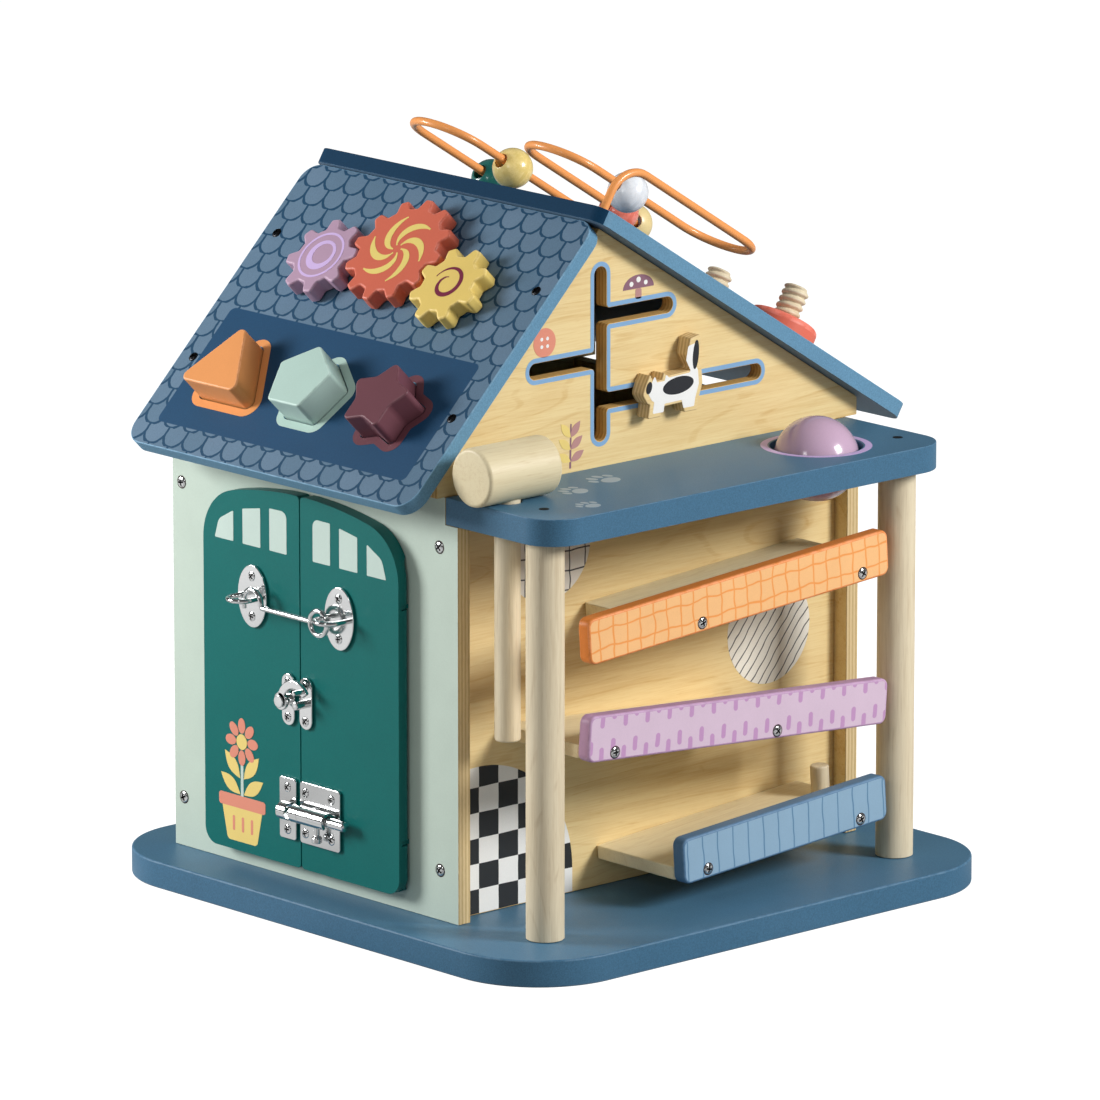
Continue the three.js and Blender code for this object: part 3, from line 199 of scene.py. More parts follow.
def ease(piece, width, segments=3):
    """Rounds every sharp edge, and marks the rounded faces, which a finish makes paler as scuffed paint
    and as a painted highlight.
    """
    apply_modifier(piece, "BEVEL", width=width, segments=segments, limit_method="ANGLE",
                   angle_limit=SHARP_ANGLE)
    worn_and_highlit_edge = piece.data.attributes.new("worn_and_highlit_edge", "FLOAT", "CORNER")
    for face in piece.data.polygons:
        eased = STEEP < abs(face.normal.z) < FLAT
        for corner in face.loop_indices:
            worn_and_highlit_edge.data[corner].value = float(eased)


def settle(piece, place):
    """Takes a piece from millimetres to its place, and shades it smooth with flat faces kept flat."""
    piece.data.transform(place)
    pick(piece)
    bpy.ops.object.shade_smooth_by_angle(angle=SMOOTH_ANGLE)
    apply_modifier(piece, "WEIGHTED_NORMAL", keep_sharp=True)


# %% Dress it and hand it over
def dress(piece, *finishes):
    """Gives a flat piece its finishes: for its top, its edges, its underside and its left end."""
    for finish in finishes:
        piece.data.materials.append(finish)
    for face in piece.data.polygons:
        if len(finishes) > 3 and face.normal.x < -0.5:
            face.material_index = 3
        elif abs(face.normal.z) < FLAT:
            face.material_index = min(1, len(finishes) - 1)
        elif face.normal.z < 0:
            face.material_index = min(2, len(finishes) - 1)


def keep(piece, body, slot_name, *nodes):
    """A finished piece rides on its body and stands for its solids; the name of its finish is not used.
    """
    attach(piece, body)
    if nodes:
        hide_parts(*nodes)
    return piece


def board(name, loops, thickness, place, finishes, body, slot_name, *nodes, eased=0.8, base=0.0):
    """A whole board in one call: cut out, eased, dressed, put in place and handed over."""
    piece = slab(name, loops, thickness, base)
    if eased:
        ease(piece, eased)
    dress(piece, *finishes)
    settle(piece, place)
    return keep(piece, body, slot_name, *nodes)


PAINT = 0.12


def printed(name, loops, place, finish, body, slot_name, layer=0):
    """A thin coat of paint on a face; a later layer lies over an earlier one."""
    return board(name, loops, PAINT * (1 + 0.5 * layer), place, (finish,), body, slot_name, eased=0)

# %% [markdown]
# ## Finishes
# Real paint on plywood is never one flat colour. It has a faint mottle where the coat is
# thicker, a fine orange-peel skin that breaks up the highlight, and edges that are rubbed a
# little paler; that paler edge is partly wear and partly a painted highlight. Clear-coated wood shows
# long grain, and the edge of plywood shows its layers.
# Each of these effects is a node group, made once, and every material puts its own values
# into it.

# %% Small helpers for node groups
def new_group(name, inputs, outputs):
    """A shader node group with named float, colour or vector sockets and their defaults."""
    group = bpy.data.node_groups.new(name, "ShaderNodeTree")
    kinds = {"float": "NodeSocketFloat", "colour": "NodeSocketColor", "vector": "NodeSocketVector"}
    for label, kind, default in inputs:
        socket = group.interface.new_socket(label, in_out="INPUT", socket_type=kinds[kind])
        if default is not None:
            socket.default_value = default
    for label, kind in outputs:
        group.interface.new_socket(label, in_out="OUTPUT", socket_type=kinds[kind])
    return group, group.nodes.new("NodeGroupInput"), group.nodes.new("NodeGroupOutput")


def node(tree, kind, *links, **settings):
    """A node with its settings; each link or value goes to the input of the same position."""
    made = tree.nodes.new("ShaderNode" + kind)
    for key, value in settings.items():
        setattr(made, key, value)
    for i, value in enumerate(links):
        if isinstance(value, bpy.types.NodeSocket):
            tree.links.new(value, made.inputs[i])
        elif value is not None:
            made.inputs[i].default_value = value
    return made


def calc(tree, operation, *values, clamp=False):
    """One Math node; gives back its result."""
    return node(tree, "Math", *values, operation=operation, use_clamp=clamp).outputs[0]


# %% Arithmetic in a node tree
def plus(tree, *values, clamp=False):
    """A sum; clamp keeps it between nought and one."""
    total = values[0]
    for value in values[1:-1]:
        total = calc(tree, "ADD", total, value)
    return calc(tree, "ADD", total, values[-1], clamp=clamp)


def times(tree, *values):
    """A product."""
    total = values[0]
    for value in values[1:]:
        total = calc(tree, "MULTIPLY", total, value)
    return total


def minus(tree, first, second):
    """One value less another."""
    return calc(tree, "SUBTRACT", first, second)


def swing(tree, value, middle, share):
    """How far a value is from its middle, times a share."""
    return times(tree, minus(tree, value, middle), share)


def length_of(tree, across, up):
    """The length of a step that goes so far across and so far up."""
    return calc(tree, "SQRT", plus(tree, times(tree, across, across), times(tree, up, up)))


def vector(tree, operation, *values):
    """One Vector Math node; gives back its vector, or its number for a dot product."""
    made = node(tree, "VectorMath", *values, operation=operation)
    return made.outputs["Value" if operation in ("DOT_PRODUCT", "LENGTH") else "Vector"]


# %% Textures in a node tree
def noise_texture(tree, place, scale, detail=2.0, rough=0.5, bend=0.0):
    """A noise texture node."""
    made = node(tree, "TexNoise", place)
    for label, value in (("Scale", scale), ("Detail", detail), ("Roughness", rough),
                         ("Distortion", bend)):
        made.inputs[label].default_value = value
    return made


def noise(tree, place, scale, detail=2.0, rough=0.5, bend=0.0):
    """The value of a noise texture."""
    return noise_texture(tree, place, scale, detail, rough, bend).outputs["Fac"]


def stretched(tree, place, stretch, detail=2.0, rough=0.5, bend=0.0):
    """A noise whose grains are longer one way than another."""
    return noise(tree, vector(tree, "MULTIPLY", place, stretch), 1.0, detail, rough, bend)


def wobble(tree, place, scale, detail=2.0):
    """A push to and fro in every direction, as of an unsteady hand."""
    push = noise_texture(tree, place, scale, detail).outputs["Color"]
    return vector(tree, "SUBTRACT", push, (0.5, 0.5, 0.5))


# %% Colours in a node tree
def mix(tree, share, first, second, blend="MIX"):
    """A colour mix of two colours by a share."""
    made = node(tree, "Mix", data_type="RGBA", blend_type=blend)
    for socket, value in zip((made.inputs[0], made.inputs[6], made.inputs[7]), (share, first, second)):
        if isinstance(value, bpy.types.NodeSocket):
            tree.links.new(value, socket)
        else:
            socket.default_value = value
    return made.outputs[2]


def soft_step(tree, value, low, high):
    """Nought below low, one above high and a smooth rise between them."""
    made = node(tree, "MapRange", value, low, high, interpolation_type="SMOOTHSTEP")
    return made.outputs[0]


def tint(tree, colour, saturation, value):
    """A colour made paler or deeper, and lighter or darker."""
    return node(tree, "HueSaturation", 0.5, saturation, value, 1.0, colour).outputs[0]


def give(tree, out, **results):
    """Links results to a group's outputs by their names."""
    for label, result in results.items():
        tree.links.new(result, out.inputs[label])


# %% The paint film
paint_film, film_in, film_out = new_group(
    "paint_film",
    [("Colour", "colour", None), ("Mottle", "float", 0.06), ("Roughness", "float", 0.5),
     ("Wear", "float", 0.35), ("Speck", "float", 0.1)],
    [("Colour", "colour"), ("Roughness", "float"), ("Height", "float")])
tree = paint_film
place = node(tree, "TexCoord").outputs["Object"]
cloud = noise(tree, place, 38, 3)
skin = noise(tree, place, 1500)
speck = noise(tree, place, 1300)
# Eased edges turn paler in noisy patches: partly rubbed paint, partly a painted highlight along the
# edge.
edge = node(tree, "Attribute", attribute_name="worn_and_highlit_edge").outputs["Fac"]
patchy = soft_step(tree, noise(tree, place, 160, 4, 0.7), 0.35, 0.62)
wear_and_highlight = times(tree, edge, film_in.outputs["Wear"], patchy)
tone = swing(tree, cloud, 0.5, film_in.outputs["Mottle"])
fleck = swing(tree, speck, 0.5, film_in.outputs["Speck"])
shaded = tint(tree, film_in.outputs["Colour"], 1.0, plus(tree, times(tree, tone, 2), fleck, 1))
paler = tint(tree, film_in.outputs["Colour"], 0.82, 1.45)
give(tree, film_out, Colour=mix(tree, wear_and_highlight, shaded, paler),
     Roughness=plus(tree, film_in.outputs["Roughness"], swing(tree, skin, 0.5, 0.12),
                    times(tree, wear_and_highlight, 0.1)),
     Height=plus(tree, skin, times(tree, cloud, 0.5)))

# %% The grain of clear-coated wood, which runs along X
wood_grain, grain_in, grain_out = new_group(
    "wood_grain",
    [("Vector", "vector", None), ("Light", "colour", (0.8, 0.62, 0.36, 1)),
     ("Dark", "colour", (0.5, 0.3, 0.13, 1)), ("Figure", "float", 1.0)],
    [("Colour", "colour"), ("Roughness", "float"), ("Height", "float")])
tree = wood_grain
place = grain_in.outputs["Vector"]
figure = grain_in.outputs["Figure"]
field = stretched(tree, place, (2.6, 22, 22), 2, 0.4, 0.35)
rings = soft_step(tree, calc(tree, "SINE", times(tree, field, 56)), -0.6, 1.0)
streak = stretched(tree, place, (13, 330, 330), 5, 0.62)
fibre = stretched(tree, place, (45, 1100, 1100), 3, 0.65)
pore = soft_step(tree, stretched(tree, place, (110, 1300, 1300), 1), 0.62, 0.74)
warm = stretched(tree, place, (5, 12, 12))
growth = soft_step(tree, calc(tree, "SINE", times(tree, field, 92)), 0.84, 1.0)
growth = times(tree, growth, soft_step(tree, streak, 0.4, 0.55), 0.22, figure)
dark = plus(tree, times(tree, rings, 0.12, figure), swing(tree, streak, 0.44, 0.62),
            swing(tree, fibre, 0.46, 0.78), swing(tree, warm, 0.5, 0.35), times(tree, pore, 0.14),
            growth, clamp=True)
knot = soft_step(tree, stretched(tree, place, (22, 48, 48), 3, 0.55, 0.8), 0.66, 0.78)
dark = plus(tree, dark, times(tree, knot, 0.5), clamp=True)
give(tree, grain_out, Colour=mix(tree, dark, grain_in.outputs["Light"], grain_in.outputs["Dark"]),
     Roughness=plus(tree, 0.4, times(tree, fibre, 0.14)),
     Height=plus(tree, fibre, times(tree, streak, 0.6)))

# %% The layered edge of plywood, whose thickness runs along Z
LAYER = 0.0026
ply_layers, layers_in, layers_out = new_group(
    "ply_layers",
    [("Vector", "vector", None), ("Light", "colour", (0.62, 0.42, 0.2, 1)),
     ("Dark", "colour", (0.3, 0.17, 0.07, 1))],
    [("Colour", "colour"), ("Roughness", "float"), ("Height", "float")])
tree = ply_layers
place = layers_in.outputs["Vector"]
wander = swing(tree, noise(tree, place, 60), 0.5, 0.0006)
depth = plus(tree, node(tree, "SeparateXYZ", place).outputs["Z"], wander)
layer = soft_step(tree, calc(tree, "SINE", times(tree, depth, 2 * math.pi / LAYER)), -0.4, 0.5)
fibre = stretched(tree, place, (240, 240, 1600), 3, 0.7)
dark = plus(tree, times(tree, layer, 0.55), swing(tree, fibre, 0.45, 0.8), clamp=True)
give(tree, layers_out, Colour=mix(tree, dark, layers_in.outputs["Light"], layers_in.outputs["Dark"]),
     Roughness=plus(tree, 0.5, times(tree, fibre, 0.2)), Height=fibre)


# %% A material that uses a group
def colour_of(code):
    """A linear colour from a six-digit colour code."""
    parts = [int(code[i:i + 2], 16) / 255 for i in (0, 2, 4)]
    return tuple(p / 12.92 if p <= 0.04045 else ((p + 0.055) / 1.055) ** 2.4 for p in parts) + (1,)


def tune(material, socket, value):
    """Sets one constant on a material's own shader."""
    material.node_tree.nodes["Principled BSDF"].inputs[socket].default_value = value


def new_material(name, group, bump=0.2, step=0.00008, **values):
    """A material whose colour, roughness and height come from a group with these values."""
    material = bpy.data.materials.new(name)
    material.use_nodes = True
    tree = material.node_tree
    shader = tree.nodes["Principled BSDF"]
    effect = tree.nodes.new("ShaderNodeGroup")
    effect.node_tree = group
    for key, value in values.items():
        effect.inputs[key].default_value = value
    height = node(tree, "Bump")
    height.inputs["Strength"].default_value = bump
    height.inputs["Distance"].default_value = step
    tree.links.new(effect.outputs["Colour"], shader.inputs["Base Color"])
    tree.links.new(effect.outputs["Roughness"], shader.inputs["Roughness"])
    tree.links.new(effect.outputs["Height"], height.inputs["Height"])
    tree.links.new(height.outputs["Normal"], shader.inputs["Normal"])
    tune(material, "Specular IOR Level", 0.3)
    return material, tree, effect


# %% Paint and timber
def paint(name, code, roughness=0.5, edge_wear_and_highlight=0.35, gloss=0.0, mottle=0.06, speck=0.1, sheen=0.3):
    """Satin or glossy paint of one colour."""
    material = new_material(name, paint_film, bump=0.05 if gloss else 0.2, Colour=colour_of(code),
                            Roughness=roughness, Wear=edge_wear_and_highlight, Mottle=mottle, Speck=speck)[0]
    tune(material, "Specular IOR Level", sheen)
    tune(material, "Coat Weight", gloss)
    tune(material, "Coat Roughness", 0.12)
    return material


def timber(name, group, turned, light, dark, coat=0.12, **values):
    """Clear-coated wood with its grain or its layers turned by a rotation in degrees."""
    material, tree, effect = new_material(name, group, bump=0.25, Light=colour_of(light),
                                          Dark=colour_of(dark), **values)
    mapping = node(tree, "Mapping", node(tree, "TexCoord").outputs["Object"])
    mapping.inputs["Rotation"].default_value = [math.radians(angle) for angle in turned]
    tree.links.new(mapping.outputs[0], effect.inputs["Vector"])
    tune(material, "Coat Weight", coat)
    tune(material, "Coat Roughness", 0.3)
    return material


# %% The paints and woods of the house
blue_paint = paint("blue_satin", "4b7693", 0.42, edge_wear_and_highlight=0.4, speck=0.7)
slate_paint = paint("slate_satin", "5f7a92")
mint_paint = paint("mint_satin", "c1d0c3", 0.5)
teal_paint = paint("teal_satin", "046763", 0.42, edge_wear_and_highlight=0.45, speck=0.3, sheen=0.2)
red_paint = paint("red_satin", "cd6750", 0.42)
lilac_paint = paint("lilac_satin", "b293aa", 0.42)
yellow_paint = paint("yellow_satin", "e3c66e", 0.42)
orange_paint = paint("orange_satin", "e4985a", 0.42)
pale_mint_paint = paint("pale_mint_satin", "b2cdc3", 0.42)
maroon_paint = paint("maroon_satin", "6c4049", 0.42)
coral_paint = paint("coral_satin", "e5705a", 0.42)
wall_wood = timber("birch_ply_upright", wood_grain, (0, 0, 0), "ebd29a", "cb9f58")
wall_edge = timber("ply_edge_porch", ply_layers, (90, 0, 0), "e0b873", "b5853f")
door_wall_edge = timber("ply_edge_doors", ply_layers, (0, 90, 0), "dcc596", "b3935e")
pale_wood_x = timber("pale_wood_lying", wood_grain, (0, 0, 0), "eedfb8", "cdb380", Figure=0.7)
pale_wood_z = timber("pale_wood_upright", wood_grain, (0, 90, 0), "e2d4b6", "b19873", Figure=0.7)

# %% [markdown]
# ## The base plate
# One thick board carries everything. Its corners are cut to a wide arc with a router, and its
# rim has the blue of its top a shade darker, as painted shade. Sanding takes the paint a little thinner
# along the rim, and that paler edge is also a painted highlight.

# %% The base plate
BASE_LEFT, BASE_RIGHT, BASE_FRONT, BASE_REAR = -35.3, 343.6, -100.8, 283.0
BASE_THICKNESS = 16.0
BASE_CORNER = 58.0
# The rims of the base and the deck take the top's blue a shade darker: painted shade.
rim_blue_shaded = paint("blue_rim_painted_shade", "406b88", 0.45, edge_wear_and_highlight=0.5, speck=0.7)
board("base_board", [rectangle(BASE_LEFT, BASE_FRONT, BASE_RIGHT, BASE_REAR, BASE_CORNER, steps=24)],
      BASE_THICKNESS, HOUSE, (blue_paint, rim_blue_shaded), "house", "blue_board", "base_plate",
      eased=1.2, base=-BASE_THICKNESS)
print("base plate", round(BASE_RIGHT - BASE_LEFT, 1), "by", round(BASE_REAR - BASE_FRONT, 1))

# %% [markdown]
# ## The four walls
# The side walls are painted, but their cut edges are left bare, so the layers of the plywood
# show beside the paint. The gable walls are bare on their faces too, under a clear coat.

# %% Heights and the shape of the doorway
WALL_TOP = 247.6
DECK_BOTTOM = 232.1
DECK_TOP = 247.8
FRONT_WALL_Y = 10.4
REAR_WALL_Y = 235.6
SEAM_Y = 125.1
ARCH_TOP = 230.4
CROWN_RADIUS = 280.0
SHOULDER_RADIUS = 32.0
LEAF_WIDTH = 84.5
SEAM_GAP = 1.0
side_wall = [(0, JOINT), (WALL_LENGTH, JOINT), (WALL_LENGTH, WALL_TOP), (FRONT_WALL_Y, WALL_TOP),
             (FRONT_WALL_Y, DECK_BOTTOM - JOINT), (0, DECK_BOTTOM - JOINT)]


def arch(y0, y1, bottom, inset, bottom_corner, steps=16):
    """The outline of the doorway arch: a flat crown that drops to its sides in round shoulders."""
    half = (y1 - y0) / 2 - inset
    middle = (y0 + y1) / 2
    crown = CROWN_RADIUS - inset
    shoulder = SHOULDER_RADIUS - inset
    crown_z = ARCH_TOP - CROWN_RADIUS
    shoulder_z = crown_z + math.sqrt((crown - shoulder) ** 2 - (half - shoulder) ** 2)
    lean = math.atan2(shoulder_z - crown_z, half - shoulder)
    r = bottom_corner
    points = arc(middle - half + r, bottom + r, r, r, math.pi, 1.5 * math.pi, steps)
    points += arc(middle + half - r, bottom + r, r, r, 1.5 * math.pi, 2 * math.pi, steps)
    points += arc(middle + half - shoulder, shoulder_z, shoulder, shoulder, 0, lean, steps)
    points += arc(middle, crown_z, crown, crown, lean, math.pi - lean, steps)[1:]
    points += arc(middle - half + shoulder, shoulder_z, shoulder, shoulder, math.pi - lean,
                  math.pi, steps)
    return points


# %% The side walls
OPENING_LAP = 8.0
OPENING_CORNER = 2.5
LEAF_BOTTOM = 10.6
door_start = SEAM_Y - SEAM_GAP / 2 - LEAF_WIDTH
door_end = SEAM_Y + SEAM_GAP / 2 + LEAF_WIDTH
doorway = arch(door_start, door_end, LEAF_BOTTOM + OPENING_LAP, OPENING_LAP,
               OPENING_CORNER)
board("door_side_wall", [side_wall, doorway], PLY, HOUSE @ DOOR_SIDE,
      (wall_wood, door_wall_edge, mint_paint), "house", "mint_board", "door_wall", eased=0.5)
board("far_side_wall", [side_wall], PLY, HOUSE @ shift(HOUSE_WIDTH - PLY, 0, 0) @ DOOR_SIDE,
      (mint_paint, door_wall_edge, wall_wood), "house", "mint_board", "far_wall", eased=0.5)

# %% The outline of a gable
RIDGE_X, RIDGE_Z = 117.694, 386.594
EAR_LEFT_X, EAR_RIGHT_X = -6.5, 322.0
LEFT_EAR_Z, RIGHT_EAR_Z, EAR_CORNER = 261.976, 258.576, 5
PEAK_X, PEAK_Z = RIDGE_X - 0.043, RIDGE_Z - 0.467
shelf = WALL_TOP + JOINT
inner_wall = PLY + JOINT
gable = rounded([
    (inner_wall, JOINT, 0.5), (HOUSE_WIDTH - inner_wall, JOINT, 0.5),
    (HOUSE_WIDTH - inner_wall, shelf, 0.5), (EAR_RIGHT_X, shelf, 0.5),
    (EAR_RIGHT_X, RIGHT_EAR_Z, EAR_CORNER / 2), (PEAK_X, PEAK_Z, 0.5),
    (EAR_LEFT_X, LEFT_EAR_Z, EAR_CORNER), (EAR_LEFT_X, shelf, 0.5),
    (inner_wall, shelf, 0.5)], steps=4)

# %% The slot that the figure slides in
SLOT_WIDTH = 9.3
SLOT_X = 118.594
SLOT_BOTTOM, SLOT_TOP = 262.4, 363.994
SLOT_UPPER_Z, SLOT_UPPER_END = 334.694, 174.794
SLOT_LEFT_Z, SLOT_LEFT_END = 310.194, 63.994
SLOT_CAT_Z, SLOT_CAT_END = 285.4, 244.8
SLOT_CORNER = 2.5


def slot_outline(grow=0.0):
    """The branching slot; grow moves every side outward, for the painted border."""
    half = SLOT_WIDTH / 2
    end = SLOT_WIDTH * 0.49
    left, right = SLOT_X - half, SLOT_X + half
    corners = [(left, SLOT_BOTTOM, end), (right, SLOT_BOTTOM, end)]
    for z, tip in ((SLOT_CAT_Z, SLOT_CAT_END), (SLOT_UPPER_Z, SLOT_UPPER_END)):
        corners += [(right, z - half, SLOT_CORNER), (tip, z - half, end), (tip, z + half, end),
                    (right, z + half, SLOT_CORNER)]
    corners += [(right, SLOT_TOP, end), (left, SLOT_TOP, end)]
    z, tip = SLOT_LEFT_Z, SLOT_LEFT_END
    corners += [(left, z + half, SLOT_CORNER), (tip, z + half, end), (tip, z - half, end),
                (left, z - half, SLOT_CORNER)]
    return rounded(corners, grow)


# %% Cut out the gables
FRONT_FACE = HOUSE @ shift(0, FRONT_WALL_Y, 0) @ PORCH_SIDE
board("front_gable", [gable, slot_outline()], PLY, FRONT_FACE @ shift(0, 0, -PLY),
      (wall_wood, wall_edge, wall_wood), "house", "natural_board", "front_wall", eased=0.5)
board("rear_gable", [gable], PLY, HOUSE @ shift(0, REAR_WALL_Y + PLY, 0) @ PORCH_SIDE,
      (wall_wood, wall_edge, wall_wood), "house", "natural_board", "rear_wall", eased=0.5)
print("walls made: door wall, far wall and two gables")

# %% [markdown]
# ## The left roof
# The tiles are not carved. They are printed on the board as one dark line round each scale,
# so the material draws them from a formula: a row of arcs, and each next row moved by half
# a scale. A plain dark panel is painted where the shape blocks drop in, with a wide border
# of the block's own colour round each hole.

# %% The scale pattern
SCALE_WIDTH, SCALE_ROW, SCALE_LINE = 17.0, 12.4, 1.7
scale_lines, scale_in, scale_out = new_group(
    "scale_lines", [("Vector", "vector", None)], [("Mask", "float"), ("Shade", "float")])
tree = scale_lines
place = scale_in.outputs["Vector"]
drawn = vector(tree, "SCALE", wobble(tree, place, 0.35), None, None, 1.1)
axes = node(tree, "SeparateXYZ", vector(tree, "ADD", place, drawn)).outputs
up = calc(tree, "DIVIDE", axes["X"], SCALE_ROW)
row = calc(tree, "FLOOR", up)
height = times(tree, minus(tree, up, row), SCALE_ROW)
half_width = SCALE_WIDTH / 2
odd = times(tree, calc(tree, "PINGPONG", row, 1), half_width)
across = calc(tree, "FLOORED_MODULO", plus(tree, axes["Y"], odd), SCALE_WIDTH)
below = calc(tree, "MINIMUM", minus(tree, height, half_width), 0)
span = length_of(tree, minus(tree, across, half_width), below)
gap = calc(tree, "ABSOLUTE", minus(tree, span, half_width))
line = soft_step(tree, minus(tree, gap, SCALE_LINE / 2), -0.15, 0.25)
own_row = minus(tree, row, calc(tree, "GREATER_THAN", span, half_width))
odd = times(tree, calc(tree, "PINGPONG", own_row, 1), half_width)
column = calc(tree, "FLOOR", calc(tree, "DIVIDE", plus(tree, axes["Y"], odd), SCALE_WIDTH))
shade = node(tree, "TexWhiteNoise", node(tree, "CombineXYZ", column, own_row).outputs[0])
give(tree, scale_out, Mask=minus(tree, 1, line), Shade=shade.outputs["Value"])


# %% A frame and a panel in a material
def in_frame(tree, place):
    """Object coordinates turned back into a frame's own millimetres by three dot products."""
    back = place.inverted()
    here = node(tree, "TexCoord").outputs["Object"]
    parts = []
    for line in range(3):
        part = vector(tree, "DOT_PRODUCT", here, tuple(back[line][:3]))
        parts.append(calc(tree, "ADD", part, back[line][3]))
    return node(tree, "CombineXYZ", *parts).outputs[0]


def inside_box(tree, place, low, high, corner=4.0, soft=0.3):
    """One inside a rectangle with round corners in a frame's X and Y, and nought outside it."""
    middle = ((low[0] + high[0]) / 2, (low[1] + high[1]) / 2, 0)
    half = ((high[0] - low[0]) / 2 - corner, (high[1] - low[1]) / 2 - corner, 0)
    away = vector(tree, "ABSOLUTE", vector(tree, "SUBTRACT", place, middle))
    away = vector(tree, "MAXIMUM", vector(tree, "SUBTRACT", away, half), (0, 0, 0))
    away = vector(tree, "LENGTH", vector(tree, "MULTIPLY", away, (1, 1, 0)))
    return minus(tree, 1, soft_step(tree, away, corner - soft, corner + soft))


# %% The painted roof material
PANEL = ((16.6, 20.0), (99.4, 235.4))
FIRST_SCALE = (100.8, 0.3)
RIGHT_LENGTH = 286.848


def tile_paint(name, place, first, downhill, panel=None):
    """Roof paint with scales whose shade varies, and a plain dark panel where one is given."""
    material, tree, effect = new_material(name, paint_film, Roughness=0.6, Speck=0.35)
    local = in_frame(tree, place)
    scales = tree.nodes.new("ShaderNodeGroup")
    scales.node_tree = scale_lines
    start = vector(tree, "MULTIPLY", vector(tree, "SUBTRACT", local, (*first, 0)), (downhill, 1, 1))
    tree.links.new(start, scales.inputs["Vector"])
    tile = mix(tree, scales.outputs["Shade"], colour_of("557289"), colour_of("627c93"))
    tile = mix(tree, scales.outputs["Mask"], tile, colour_of("0f4160"))
    if panel:
        tile = mix(tree, inside_box(tree, local, *panel), tile, colour_of("0e4367"))
    tree.links.new(tile, effect.inputs["Colour"])
    return material


roof_paint = tile_paint("scale_roof", LEFT_ROOF, FIRST_SCALE, 1, PANEL)
right_paint = tile_paint("scale_roof_right", RIGHT_ROOF, (RIGHT_LENGTH, 0), -1)

# %% Shapes of the blocks
LEFT_LENGTH = 203.708
LEFT_FRONT, LEFT_REAR = 3.7, 251.5
EAVE_CORNER, RIDGE_CORNER = 13, 12
roof_rim = paint("roof_rim", "608daa", 0.5, edge_wear_and_highlight=0.6, speck=0.7)
# The right roof's ridge end, which faces up and left, gets a much darker blue than its rims: painted
# shade.
ridge_end_shade = paint("ridge_end_shade", "0b3450", 0.65, edge_wear_and_highlight=0.3, speck=0.5, sheen=0.1)


def regular(sides, radius, corner):
    """Corners of a regular shape, with the first one up the slope."""
    return [(x, y, corner) for x, y in oval(0, 0, radius, count=sides)]


def star(tip_radius, inner_radius, tip_corner, inner_corner, points=5):
    """Corners of a star, tips and inner corners in turn."""
    corners = []
    for i in range(points):
        tip = 2 * math.pi * i / points
        inner = tip + math.pi / points
        corners.append((tip_radius * math.cos(tip), tip_radius * math.sin(tip), tip_corner))
        corners.append((inner_radius * math.cos(inner), inner_radius * math.sin(inner), inner_corner))
    return corners


def moved(points, x, y):
    """An outline moved by x and y."""
    return [(px + x, py + y) for px, py in points]


# Each block: its place up the slope and along it, its corners, its paint and its finish's name
BLOCKS = {
    "triangle": (52.2, SEAM_Y + 67.9, regular(3, 29.5, 4), orange_paint, "orange"),
    "pentagon": (56.0, SEAM_Y + 1.4, regular(5, 22.7, 3), pale_mint_paint, "mint"),
    "star": (56.0, SEAM_Y - 64.8, star(24.2, 14.9, 3, 6), maroon_paint, "maroon"),
}

# %% Cut out the left roof board
BLOCK_PLAY = 0.5
BORDER = 5.7
left_outline = rounded([(0, LEFT_FRONT, EAVE_CORNER), (LEFT_LENGTH, LEFT_FRONT, RIDGE_CORNER),
                        (LEFT_LENGTH, LEFT_REAR, RIDGE_CORNER), (0, LEFT_REAR, EAVE_CORNER)],
                       steps=12)
holes = [moved(rounded(corners, BLOCK_PLAY), s, y) for s, y, corners, *_ in BLOCKS.values()]
board("left_roof_board", [left_outline] + holes, PLY, LEFT_ROOF,
      (roof_paint, roof_rim, slate_paint), "house", "slate_board", "roof_left",
      eased=0.7, base=-PLY)

# %% The shape blocks and their painted borders
BLOCK_LENGTH, BLOCK_STAND = 29.5, 18.5
for name, (s, y, corners, finish, slot_name) in BLOCKS.items():
    board(f"block_{name}_solid", [moved(rounded(corners), s, y)], BLOCK_LENGTH, LEFT_ROOF,
          (finish,), f"block_{name}", slot_name, f"block_{name}", eased=1.1,
          base=BLOCK_STAND - BLOCK_LENGTH)
    rim = [moved(rounded(corners, grow), s, y) for grow in (BORDER, BLOCK_PLAY + 0.3)]
    printed(f"block_{name}_border", rim, LEFT_ROOF, finish, "house", slot_name)

# %% [markdown]
# ## Gears
# Wooden gears for small hands have fat rounded teeth. One formula swings the radius between
# root and tip over each tooth, so the big gear and the two small ones share it. Rings, a
# pinwheel and a spiral are painted on their faces, so that even a slow turn shows.

# %% Gear outlines and their faces
GEAR_THICKNESS = 11.0
GEAR_LIFT = 1.0
GEAR_DISTANCE = 56.34
RED_TIP, SMALL_TIP, TIP_GAP = 35.9, 26.0, 0.9
RED_TEETH, SMALL_TEETH = 12, 8
RED_BELOW_RIDGE = 50.1
gear_lean = math.pi / RED_TEETH
red_s = LEFT_LENGTH - RED_BELOW_RIDGE
small_s = red_s - GEAR_DISTANCE * math.sin(gear_lean)
small_shift = GEAR_DISTANCE * math.cos(gear_lean)
red_root = GEAR_DISTANCE - SMALL_TIP - TIP_GAP
small_root = GEAR_DISTANCE - RED_TIP - TIP_GAP


